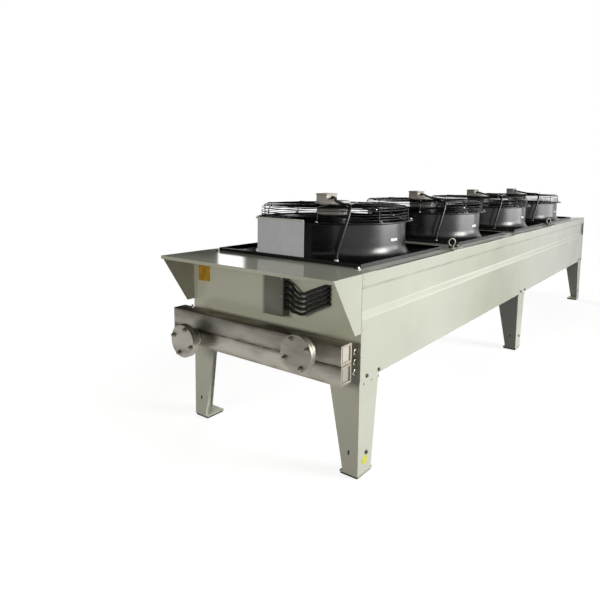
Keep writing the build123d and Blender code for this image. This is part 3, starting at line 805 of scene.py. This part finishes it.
def black_coat(name, roughness):
    """Semi-gloss black coat with fine texture and a little dust on upward faces."""
    finish = new_finish(name, colour(17, 17, 19), roughness)
    dull = grain(finish, 0.08, detail=2.0)
    settled = graded(finish, facing_up(finish), 0.5, 1.0, 0.0, 0.015)
    dust = sums(finish, "MULTIPLY", settled, graded(finish, dull, 0.35, 0.7, 0.0, 1.0))
    feed(finish, "Base Color", tint(finish, dust, colour(16, 16, 18), colour(120, 116, 108)))
    feed(finish, "Roughness", graded(finish, dull, 0.3, 0.7, roughness - 0.02, roughness + 0.04))
    relief(finish, grain(finish, 0.0025, detail=1.0), 0.00005, 0.08)
    return finish


fan_numbers = range(1, 5)
tray_sheet, tray_screw, tray_screw_inset, tray_index = 0.003, hex_bolt(0.013, 0.007), 0.026, 1.7
tray_black = black_coat("tray_black_coat", 0.18)
shader_of(tray_black).inputs["IOR"].default_value = tray_index
coat_nodes(tray_black, *[f"fan_plate_{number}" for number in fan_numbers])
tray_screws = []
for number in fan_numbers:
    low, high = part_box(f"fan_plate_{number}")
    for x in (low.x + tray_screw_inset, high.x - tray_screw_inset):
        for y in (low.y + tray_screw_inset, high.y - tray_screw_inset):
            tray_screws.append(placed(tray_screw, (x, y, low.z + tray_sheet), (0, 0, 1), x + y))
piece("tray_screws", tray_screws, zinc)


# Fan rings
# Spun steel rings, each with a wide bell-mouth flare down onto its tray, a straight wall and a
# rolled flange on top that carries the guard. Coated semi-gloss black, with a blank white tag.

def round_fan(number, reach, turn, height):
    """Point at a reach and a turn about a fan's axis."""
    x, y = fan_centres[number]
    return (x + reach * math.cos(turn), y + reach * math.sin(turn), height)


ring_black = black_coat("ring_black_coat", 0.25)
tag_white = mottled("tag_white", colour(224, 224, 219), colour(240, 240, 238), 0.4, 0.008)
ring_segments, wall_inset, wall_thick, flare_steps, flare_height = 160, 0.046, 0.003, 12, 0.072
tag_turn, tag_half_turn, tag_level, tag_half = -0.075, 0.074, 0.105, 0.008
tag_back, tag_front = 0.0004, 0.0010
fan_centres, ring_tags = {}, []
for number in fan_numbers:
    low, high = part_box(f"fan_ring_{number}")
    plate_low, plate_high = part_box(f"fan_plate_{number}")
    fan_centres[number] = ((low.x + high.x) / 2, (plate_low.y + plate_high.y) / 2)
    flange_radius = (high.x - low.x) / 2
    foot, top = low.z, high.z
    wall = flange_radius - wall_inset
    flare = flange_radius - 0.001 - wall
    arc = [math.radians(90 * step / flare_steps) for step in range(flare_steps + 1)]
    outer = [(wall + flare * (1 - math.sin(a)), foot + flare_height * (1 - math.cos(a))) for a in arc]
    outer += [(wall, foot + flare_height + 0.003), (wall, top - 0.017)]
    crown = [
        (wall, top - 0.014), (wall + 0.003, top - 0.009), (wall + 0.009, top - 0.006),
        (flange_radius - 0.003, top - 0.006), (flange_radius, top - 0.004), (flange_radius, top - 0.002),
        (flange_radius - 0.002, top), (wall + 0.006, top), (wall, top - 0.004),
        (wall - wall_thick, top - 0.012),
    ]
    inner = [(r - wall_thick, z + 0.0005) for r, z in reversed(outer[1:])]
    inner.append((outer[0][0] - 0.004, foot))
    ring = placed(turned(outer + crown + inner, ring_segments, closed=True), (*fan_centres[number], 0))
    piece(f"fan_ring_spun_{number}", [ring], ring_black, smooth=50,
          stands_for=f"fan_ring_{number}")
    back, front, level = wall + tag_back, wall + tag_front, foot + tag_level
    corners = [(back, -tag_half), (front, -tag_half), (front, tag_half), (back, tag_half)]
    turns = np.linspace(tag_turn - tag_half_turn, tag_turn + tag_half_turn, 9)
    ring_tags.append(loft([[round_fan(number, r, a, level + z) for r, z in corners] for a in turns]))
piece("ring_tags", ring_tags, tag_white, smooth=20)


# Rotors
# Five swept, twisted blades of coated sheet metal on a drum hub, fixed to the motor shaft. They
# turn inside the ring with a small tip gap.

blade_black = mottled("blade_satin_black", colour(17, 17, 19), colour(36, 36, 37), (0.3, 0.46), 0.03,
                      detail=4.0)
hub_radius, hub_height, hub_bore, hub_edge = 0.1065, 0.140, 0.0155, 0.006
collar_top, blade_sink = 0.0102, 0.010
blade_count, blade_camber, blade_thick, blade_sweep = 5, 0.016, 0.0045, 0.090
root_chord, tip_chord, root_pitch, tip_pitch = 0.200, 0.240, 38.0, 21.0
blade_rows, blade_columns = 18, 14
for number in fan_numbers:
    low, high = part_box(f"fan_rotor_{number}")
    place = (*fan_centres[number], 0)
    hub_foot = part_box(f"fan_motor_{number}")[0].z + collar_top
    hub_top = hub_foot + hub_height
    middle = hub_foot + hub_height / 2
    tip_radius = max(high.x, -low.x)
    root_radius = hub_radius - blade_sink
    share = np.linspace(0, 1, blade_rows)[:, None]
    along = np.linspace(-0.5, 0.5, blade_columns)[None, :]
    radius = root_radius + (tip_radius - root_radius) * share
    pitch = np.radians(root_pitch + (tip_pitch - root_pitch) * share)
    chord = root_chord + (tip_chord - root_chord) * share
    turn = (blade_sweep * share**2 + along * chord * np.cos(pitch)) / radius
    rise = along * chord * np.sin(pitch) + blade_camber * (0.5 - 4 * along**2)
    thick = blade_thick / 2 * np.sqrt(np.clip(1 - (2 * along) ** 4, 0.04, 1))
    skins = []
    for face in (1, -1):
        height = middle + rise + face * thick
        skins.append(np.stack((radius * np.cos(turn), radius * np.sin(turn), height), 2))
    blade = loft([np.vstack((skins[0][k], skins[1][k][::-1])) for k in range(blade_rows)])
    parts = [placed(blade, place, turn=2 * math.pi * k / blade_count) for k in range(blade_count)]
    drum = [
        (hub_bore, hub_foot), (hub_radius - hub_edge, hub_foot), (hub_radius, hub_foot + hub_edge),
        (hub_radius, hub_top - hub_edge), (hub_radius - hub_edge, hub_top), (hub_bore, hub_top),
    ]
    parts.append(placed(turned(drum, 72, closed=True), place))
    piece(f"fan_rotor_smooth_{number}", parts, blade_black, f"rotor_{number}", smooth=35,
          stands_for=f"fan_rotor_{number}")


# Guards
# Baskets of round steel wire: eight bent ribs screwed to the ring's flange carry close hoops round
# the side, over the rounded shoulder and across the top to the motor plate. Coated black.

guard_black = black_coat("guard_black_coat", 0.22)
rib_count, rib_wire, hoop_wire, hoop_pitch, hoop_segments = 8, 0.0030, 0.0022, 0.0150, 96
shoulder, guard_inset, eye_radius, first_hoop, eye_gap = 0.034, 0.030, 0.118, 0.012, 0.004
rib_foot, rib_bend, rib_end = 0.02, 0.06, 0.006
tab_in, tab_out, tab_half, tab_thick, screw_out = 0.010, 0.026, 0.011, 0.0025, 0.016
guard_screw, guard_screws = hex_bolt(0.010, 0.006), []
for number in fan_numbers:
    x, y = fan_centres[number]
    guard_low, guard_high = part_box(f"fan_guard_{number}")
    foot, top = guard_low.z, guard_high.z - rib_wire
    wall = (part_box(f"fan_ring_{number}")[1].x - x) - guard_inset - rib_wire
    bend_r, bend_z, inside = wall - shoulder, top - shoulder, shoulder - rib_wire
    hoops = [(wall - rib_wire, level) for level in np.arange(foot + first_hoop, bend_z, hoop_pitch)]
    for angle in np.radians((25, 58)):
        hoops.append((bend_r + inside * math.cos(angle), bend_z + inside * math.sin(angle)))
    hoops += [(r, top - rib_wire) for r in np.arange(bend_r, eye_radius + eye_gap, -hoop_pitch)]
    parts = []
    for r, level in hoops:
        loop = circle((x, y, level), r, (1, 0, 0), (0, 1, 0), hoop_segments)
        parts.append(wire(loop, hoop_wire, (0, 0, 1), closed=True))
    rib_line = [(wall, foot), (wall, foot + rib_foot)]
    for angle in np.radians(np.linspace(0, 90, 9)):
        rib_line.append((bend_r + shoulder * math.cos(angle), bend_z + shoulder * math.sin(angle)))
    rib_line += [(eye_radius + rib_bend, top), (eye_radius - rib_end, top)]
    tab_low, tab_high = (wall - tab_in, -tab_half, foot), (wall + tab_out, tab_half, foot + tab_thick)
    tab = rounded_block(tab_low, tab_high, 0.0008)
    for index in range(rib_count):
        angle = 2 * math.pi * (index + 0.5) / rib_count
        path = [round_fan(number, r, angle, z) for r, z in rib_line]
        parts.append(wire(path, rib_wire, (-math.sin(angle), math.cos(angle), 0), sides=10))
        parts.append(placed(tab, (x, y, 0), turn=angle))
        screw_spot = round_fan(number, wall + screw_out, angle, foot + tab_thick)
        guard_screws.append(placed(guard_screw, screw_spot, (0, 0, 1), angle))
    piece(f"fan_guard_wires_{number}", parts, guard_black, smooth=60,
          stands_for=f"fan_guard_{number}")
piece("guard_screws", guard_screws, zinc)


# Motors
# Fan motors with a bright ribbed housing, hung under a round pressed plate in the guard's eye.
# The cast lead box on top has a flat lid with four screws.

motor_cast = mottled("motor_cast_grey", colour(186, 181, 172), colour(208, 204, 196), (0.36, 0.55), 0.015,
                     detail=4.0)
relief(motor_cast, grain(motor_cast, 0.002), 0.0003)
plate_steel = mottled("motor_housing_bright", colour(190, 188, 183), colour(220, 219, 216), 0.34, 0.02,
                      detail=4.0)
box_x, box_y, box_width, box_length = -0.063, 0.008, 0.086, 0.130
lid_height, body_inset = 0.011, 0.002
box_screw, box_screw_inset, box_screw_sink = dome_rivet(0.004), 0.010, 0.0015
plate_radius, plate_thick, plate_sink, cap_radius = 0.128, 0.006, 0.002, 0.100
stator_radius, stator_gap, shaft_radius, collar_radius, fin_count = 0.108, 0.010, 0.015, 0.025, 28
motor_screws = []
for number in fan_numbers:
    x, y = fan_centres[number]
    place = (x, y, 0)
    motor_low, motor_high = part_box(f"fan_motor_{number}")
    plate_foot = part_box(f"fan_guard_{number}")[1].z
    plate_top = plate_foot + plate_thick
    plate_floor = plate_top - plate_sink
    dish = [
        (0, plate_foot), (plate_radius - 0.004, plate_foot), (plate_radius, plate_foot + 0.002),
        (plate_radius, plate_floor), (plate_radius - 0.003, plate_top), (plate_radius - 0.020, plate_top),
        (plate_radius - 0.026, plate_floor), (0, plate_floor),
    ]
    piece(f"motor_plate_{number}", [placed(turned(dish, 72), place)], plate_steel, smooth=30)
    cap = [
        (0, plate_floor), (cap_radius, plate_floor), (cap_radius, plate_top + 0.008),
        (cap_radius - 0.002, plate_top + 0.012), (cap_radius - 0.008, plate_top + 0.014),
        (0, plate_top + 0.014),
    ]
    piece(f"motor_cap_{number}", [placed(turned(cap, 72), place)], plate_steel, smooth=40)
    shaft_foot = motor_low.z
    drum_foot = shaft_foot + collar_top + hub_height + stator_gap
    stator = [
        (0, drum_foot), (stator_radius - 0.012, drum_foot), (stator_radius - 0.004, drum_foot + 0.006),
        (stator_radius - 0.004, plate_foot), (0, plate_foot),
    ]
    shaft = [
        (0, shaft_foot), (collar_radius - 0.002, shaft_foot), (collar_radius, shaft_foot + 0.002),
        (collar_radius, shaft_foot + 0.0095), (shaft_radius, shaft_foot + 0.010), (shaft_radius, drum_foot),
        (0, drum_foot),
    ]
    fin = rounded_block((stator_radius - 0.008, -0.0016, drum_foot + 0.010),
                        (stator_radius, 0.0016, plate_foot - 0.001), 0.0006, 1)
    housing = [placed(turned(stator, 64), place)]
    housing += [placed(fin, place, turn=2 * math.pi * index / fin_count) for index in range(fin_count)]
    low = (x + box_x - box_width / 2, y + box_y - box_length / 2, plate_top)
    high = (x + box_x + box_width / 2, y + box_y + box_length / 2, motor_high.z)
    lid_line = high[2] - lid_height
    body_low = (low[0] + body_inset, low[1] + body_inset, low[2])
    body_high = (high[0] - body_inset, high[1] - body_inset, lid_line)
    parts = [
        placed(turned(shaft, 40), place), rounded_block(body_low, body_high, 0.006, 3),
        rounded_block((low[0], low[1], lid_line), high, 0.004, 3),
    ]
    piece(f"fan_motor_cast_{number}", parts, motor_cast, smooth=35,
          stands_for=f"fan_motor_{number}")
    piece(f"motor_housing_{number}", housing, plate_steel, smooth=30)
    for off_x in (box_screw_inset, box_width - box_screw_inset):
        for off_y in (box_screw_inset, box_length - box_screw_inset):
            spot = (low[0] + off_x, low[1] + off_y, high[2] - box_screw_sink)
            motor_screws.append(placed(box_screw, spot))
piece("motor_box_screws", motor_screws, zinc)


# Fan leads
# One black rubber lead from each motor's lead box, tied to the guard's shoulder, dropping down
# the ring to a white gland in the tray. Held all the way.

fan_lead_radius, fan_lead_lift, lead_drop_radius = 0.0090, 0.002, 0.535
lead_top_turn, lead_foot_turn = math.radians(-45.0), math.radians(-54.0)
half_turn = (lead_top_turn + lead_foot_turn) / 2
lead_way = np.array((math.cos(lead_top_turn), math.sin(lead_top_turn), 0))
across = np.array((-math.sin(lead_top_turn), math.cos(lead_top_turn), 0))
tie_radius, tie_wire, tie_points, tail_start, tail_length = 0.0106, 0.0024, 20, 0.010, 0.055
gland_white = mottled("gland_white", colour(214, 214, 209), colour(234, 234, 231), 0.34, 0.006)
dome = turned([
    (0, 0), (0.013, 0), (0.013, 0.008), (0.0124, 0.013), (0.0110, 0.016), (0.0092, 0.017), (0, 0.017)
], 28)
fan_routes, dome_glands, lead_ties, box_sockets = [], [], [], []
for number in fan_numbers:
    x, y = fan_centres[number]
    guard_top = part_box(f"fan_guard_{number}")[1].z
    over = guard_top + fan_lead_radius + fan_lead_lift
    ring_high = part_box(f"fan_ring_{number}")[1]
    wall = ring_high.x - x - guard_inset
    tray_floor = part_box(f"fan_plate_{number}")[0].z + tray_sheet
    socket_z = (guard_top + plate_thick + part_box(f"fan_motor_{number}")[1].z) / 2
    socket = (x + box_x + box_width / 2, y + box_y, socket_z)
    turns_and_heights = [
        (0.150, lead_top_turn - 0.20, over + 0.016),
        (0.300, lead_top_turn - 0.05, over + 0.002),
        (wall - 0.008, lead_top_turn, over + 0.003),
        (wall + 0.018, lead_top_turn - 0.01, over - 0.016),
        (wall + 0.036, lead_top_turn - 0.03, over - 0.060),
        (wall + 0.052, half_turn, ring_high.z - 0.030),
        (lead_drop_radius - 0.002, lead_foot_turn + 0.03, tray_floor + 0.100),
        (lead_drop_radius, lead_foot_turn, tray_floor + 0.050),
        (lead_drop_radius, lead_foot_turn, tray_floor + 0.012),
    ]
    route = [socket, (socket[0] + 0.036, socket[1] - 0.002, socket_z)]
    fan_routes.append(route + [round_fan(number, *point) for point in turns_and_heights])
    dome_glands.append(placed(dome, round_fan(number, lead_drop_radius, lead_foot_turn, tray_floor)))
    box_sockets.append(placed(gland, socket, (1, 0, 0)))
    for reach, height, lean in ((wall - 0.050, over + 0.001, 0.0), (wall + 0.024, over - 0.036, 1.15)):
        spot = np.array(round_fan(number, reach, lead_top_turn, height))
        ahead = lead_way * math.cos(lean) - np.array((0, 0, math.sin(lean)))
        other = np.cross(ahead, across)
        loop = circle(spot, tie_radius, across, other, tie_points)
        lead_ties.append(wire(loop, tie_wire, ahead, closed=True))
        tail_way = across * 0.9 + other * 0.3
        tail = [spot + across * tail_start + tail_way * step for step in np.linspace(0, tail_length, 5)]
        lead_ties.append(wire(tail, tie_wire, ahead))
lead_run("fan_leads_round", fan_routes, fan_lead_radius, lead_rubber, "fan_leads")
piece("fan_lead_glands", dome_glands, gland_white, stands_for="lead_glands")
piece("motor_lead_glands", box_sockets, lead_rubber)
piece("lead_ties", lead_ties, gland_white)


# Lifting eyes
# Forged eye nuts, zinc plated, turned onto studs through the deck strips near both sides, with a
# plain hex bolt behind each.

eye_ring, eye_wire, eye_turn, eye_stem, eye_x = 0.02475, 0.00725, math.radians(35.0), 0.014, 0.540
eye_forward, bolt_behind, eye_bolt, eye_bolt_turn = 0.030, 0.070, hex_bolt(0.019, 0.012), 0.5
deck_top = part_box("lifting_eyes")[0].z
eye_centre_z = deck_top + eye_stem + eye_ring
collar = turned([
    (0, 0), (0.020, 0), (0.020, 0.003), (0.0175, 0.005), (0.0165, 0.011), (0.011, 0.017), (0, 0.019)
], 32)
eye_parts = []
for first, second in ((1, 2), (3, 4)):
    gap_y = (fan_centres[first][1] + fan_centres[second][1]) / 2
    for side in (-1, 1):
        spot = np.array((side * eye_x, gap_y - eye_forward, eye_centre_z))
        axis = np.array((side * math.cos(eye_turn), -math.sin(eye_turn), 0))
        loop = circle(spot, eye_ring, (-axis[1], axis[0], 0), (0, 0, 1), 48)
        eye_parts.append(wire(loop, eye_wire, axis, sides=16, closed=True))
        eye_parts.append(placed(collar, (spot[0], spot[1], deck_top)))
        bolt_spot = (spot[0], gap_y + bolt_behind, deck_top)
        eye_parts.append(placed(eye_bolt, bolt_spot, (0, 0, 1), eye_bolt_turn))
piece("lifting_eyes_forged", eye_parts, dull_zinc, smooth=50, stands_for="lifting_eyes")


# Document pouch
# A clear film pouch with folded papers in it, stood on edge in the first tray against the ring's
# flange. Its film is loosely creased and its top seam is a paler strip.

pouch_low, pouch_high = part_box("document_pouch")
film = mottled("pouch_film_grey", colour(202, 204, 216), colour(224, 226, 236), 0.24, 0.12, stretch=(1, 1, 3))
crease = grain(film, 0.03, stretch=(1, 1, 4), detail=5.0)
feed(film, "Roughness", graded(film, crease, 0.3, 0.7, 0.16, 0.36))
relief(film, crease, 0.0025, 0.6)
film_columns, film_rows, back_gap = 49, 33, 0.0002
share_x, share_z = np.meshgrid(np.linspace(0, 1, film_columns), np.linspace(0, 1, film_rows))
edge_x, edge_z = [np.minimum(1, 8 * np.minimum(share, 1 - share)) for share in (share_x, share_z)]
folds = 0.5 + 0.28 * np.sin(9 * share_x + 2 * share_z) + 0.22 * np.sin(23 * share_x - 5 * share_z)
front_x = pouch_low.x + (pouch_high.x - pouch_low.x) * share_x
front_y = pouch_high.y - (pouch_high.y - pouch_low.y) * (0.25 + 0.72 * (edge_x * edge_z) * folds)
front_z = pouch_low.z + (pouch_high.z - pouch_low.z) * share_z
front = np.stack((front_x, front_y, front_z), 2).reshape(-1, 3)
back = front.copy()
back[:, 1] = pouch_high.y - back_gap
pouch_faces, offset = [], film_columns * film_rows
for row in range(film_rows - 1):
    for column in range(film_columns - 1):
        a = row * film_columns + column
        quad = [a, a + 1, a + 1 + film_columns, a + film_columns]
        pouch_faces.append(quad)
        pouch_faces.append([corner + offset for corner in reversed(quad)])
rim = list(range(film_columns))
rim += [row * film_columns + film_columns - 1 for row in range(1, film_rows)]
rim += [offset - 1 - k for k in range(1, film_columns)]
rim += [row * film_columns for row in range(film_rows - 2, 0, -1)]
for here, after in zip(rim, rim[1:] + rim[:1]):
    pouch_faces.append([here, after, after + offset, here + offset])
piece("document_pouch_film", [(np.vstack((front, back)), pouch_faces)], film, smooth=60,
      stands_for="document_pouch")
seam_inset, seam_height = 0.001, 0.012
seam_finish = new_finish("pouch_seam_white", colour(206, 206, 206), 0.3)
feed(seam_finish, "Roughness", graded(seam_finish, grain(seam_finish, 0.02), 0.3, 0.7, 0.2, 0.4))
seam_low = (pouch_low.x + seam_inset, pouch_low.y + seam_inset, pouch_high.z - seam_height)
seam_high = (pouch_high.x - seam_inset, pouch_high.y - seam_inset, pouch_high.z)
piece("pouch_top_seam", [rounded_block(seam_low, seam_high, 0.0012)], seam_finish)


# Studio
# A pale floor and plain white surroundings, with soft lamps for the right side, the front, the top
# and the rear. Dark cards and two more lamps are only mirrored, so that the gloss has something to
# show.

def world_share(finish):
    """1 for rays that show the background, and 0 for rays that light the unit."""
    rays = node(finish, "LightPath", {}).outputs
    shown = sums(finish, "MAXIMUM", rays["Is Camera Ray"], rays["Is Glossy Ray"])
    return sums(finish, "MAXIMUM", shown, rays["Is Transmission Ray"])


def emptied(holder):
    """World or material with its node tree cleared."""
    holder.use_nodes = True
    holder.node_tree.nodes.clear()
    return holder


scene = bpy.context.scene
scene.view_settings.view_transform = "Standard"
ambient_level = 0.055
world = emptied(bpy.data.worlds.new("studio_surround"))
scene.world = world
plain = node(world, "Background", {"Color": (1, 1, 1, 1), "Strength": 1.0})
ambient = node(world, "Background", {"Color": (0.98, 0.98, 1.0, 1), "Strength": ambient_level})
shown = node(world, "MixShader", {0: world_share(world), 1: ambient.outputs[0], 2: plain.outputs[0]})
node(world, "OutputWorld", {"Surface": shown.outputs[0]})

floor_half, floor_grey, bounce_grey, floor_glow = 40.0, 0.32, 0.13, 0.84
clear_reach, clear_start = (3.4, 5.6, 1.0), 0.55
floor_finish = emptied(bpy.data.materials.new("floor_pale"))
away = node(floor_finish, "VectorMath", {0: place_in_unit(floor_finish), 1: clear_reach}, operation="DIVIDE")
away = node(floor_finish, "VectorMath", {0: away.outputs[0]}, operation="LENGTH").outputs["Value"]
clear = graded(floor_finish, away, clear_start, 1.0, 0.0, 1.0)
dim = node(floor_finish, "BsdfDiffuse", {"Color": (floor_grey, floor_grey, floor_grey, 1)})
glow = node(floor_finish, "Emission", {"Strength": graded(floor_finish, clear, 0.0, 1.0, floor_glow, 1.0)})
bounce = node(floor_finish, "BsdfDiffuse", {"Color": (bounce_grey, bounce_grey, bounce_grey, 1)})
lit = node(floor_finish, "AddShader", {0: dim.outputs[0], 1: glow.outputs[0]})
white = node(floor_finish, "Emission", {"Strength": 1.0})
seen = node(floor_finish, "MixShader", {0: clear, 1: lit.outputs[0], 2: white.outputs[0]})
pick_inputs = {0: world_share(floor_finish), 1: bounce.outputs[0], 2: seen.outputs[0]}
pick = node(floor_finish, "MixShader", pick_inputs)
node(floor_finish, "OutputMaterial", {"Surface": pick.outputs[0]})
floor_finish.cycles.emission_sampling = "NONE"


def flat_sheet(name, corners, finish):
    """Flat four-cornered sheet that belongs to the studio."""
    mesh = bpy.data.meshes.new(name)
    mesh.from_pydata(corners, [], [[0, 1, 2, 3]])
    mesh.materials.append(finish)
    made = bpy.data.objects.new(name, mesh)
    scene.collection.objects.link(made)
    return made


floor_corners = [(x * floor_half, y * floor_half, 0) for x, y in ((-1, -1), (1, -1), (1, 1), (-1, 1))]
flat_sheet("floor", floor_corners, floor_finish)

card_dark = emptied(bpy.data.materials.new("card_dark"))
even_tone = node(card_dark, "Emission", {"Color": colour(30, 30, 29), "Strength": 1.0})
node(card_dark, "OutputMaterial", {"Surface": even_tone.outputs[0]})
card_dark.cycles.emission_sampling = "NONE"
card_sheets = {
    "card_left_near": [(-3.2, -9.0, 0.3), (-3.2, 0.07, 0.3), (-3.2, 0.07, 2.8), (-3.2, -9.0, 2.8)],
    "card_left_far": [(-3.2, 0.58, 0.3), (-3.2, 8.4, 0.3), (-3.2, 8.4, 2.8), (-3.2, 0.58, 2.8)],
    "card_front": [(-9.0, -8.0, 0.0), (4.4, -8.0, 0.0), (4.4, -8.0, 4.0), (-9.0, -8.0, 4.0)],
    "card_low": [(-0.52, -4.2, 0.0), (1.2, -4.2, 0.0), (1.2, -4.2, 0.7), (-0.52, -4.2, 0.7)],
    "card_over": [(-8.0, -8.0, 5.0), (5.0, -8.0, 5.0), (5.0, 12.0, 5.0), (-8.0, 12.0, 5.0)],
    "card_aisle": [(1.0, 0.0, 0.004), (3.9, 7.6, 0.004), (3.9, 11.6, 0.004), (1.0, 1.4, 0.004)],
}
for name, corners in card_sheets.items():
    card = flat_sheet(name, corners, card_dark)
    card.visible_camera = False
    card.visible_diffuse = False
    card.visible_transmission = False
    card.visible_shadow = False


def soft_lamp(name, place, target, size, power, warmth, spread=180.0, lighting=True, mirrored=True):
    """Broad rectangular lamp aimed at a point."""
    lamp = bpy.data.lights.new(name, "AREA")
    lamp.shape = "RECTANGLE"
    lamp.size, lamp.size_y = size
    lamp.energy = power
    lamp.color = warmth
    lamp.spread = math.radians(spread)
    made = bpy.data.objects.new(name, lamp)
    made.location = place
    made.rotation_euler = (Vector(target) - Vector(place)).to_track_quat("-Z", "Y").to_euler()
    made.visible_camera = False
    made.visible_diffuse = lighting
    made.visible_glossy = mirrored
    scene.collection.objects.link(made)


white_light = (1.0, 1.0, 1.0)
soft_lamp("side_lamp", (9.0, 1.7, 3.2), (0.6, -2.5, 0.8), (4.0, 3.4), 222, (1.0, 0.995, 0.96), spread=80.0)
soft_lamp("sheen_lamp", (7.0, 5.6, 1.3), (0.6, 5.6, 1.0), (10.0, 2.4), 420, white_light, lighting=False)
soft_lamp("hood_glint", (-3.25, 0.325, 1.55), (0.0, 0.325, 1.4), (0.51, 2.5), 5.5, (1.0, 1.0, 0.97),
          lighting=False)
soft_lamp("front_lamp", (-0.3, -5.9, 1.55), (0.0, -2.7, 0.6), (2.4, 0.8), 48, (1.0, 0.95, 0.85),
          mirrored=False)
soft_lamp("top_lamp", (0.0, 0.0, 5.6), (0.0, 0.0, 1.0), (4.0, 8.0), 30, white_light, mirrored=False)
soft_lamp("back_lamp", (-6.5, 6.5, 2.6), (-0.4, 1.0, 0.7), (5.0, 3.0), 560, (1.0, 1.0, 0.98), mirrored=False)

camera_place = Vector((1.9376, -4.8104, 1.5134))
camera_yaw, camera_pitch, camera_roll = (math.radians(a) for a in (-37.7304, -6.3031, 0.615))
forward = Vector((
    math.sin(camera_yaw) * math.cos(camera_pitch), math.cos(camera_yaw) * math.cos(camera_pitch),
    math.sin(camera_pitch),
))
level_right = Vector((math.cos(camera_yaw), -math.sin(camera_yaw), 0))
level_up = level_right.cross(forward)
right = level_right * math.cos(camera_roll) + level_up * math.sin(camera_roll)
up = level_up * math.cos(camera_roll) - level_right * math.sin(camera_roll)
camera_data = bpy.data.cameras.new("photo_camera")
camera_data.sensor_width = 36.0
camera_data.lens = 32.19
camera_data.shift_y = -0.1032
camera = bpy.data.objects.new("photo_camera", camera_data)
turn_matrix = Matrix((right, up, -forward)).transposed().to_4x4()
camera.matrix_world = Matrix.Translation(camera_place) @ turn_matrix
scene.collection.objects.link(camera)
scene.camera = camera
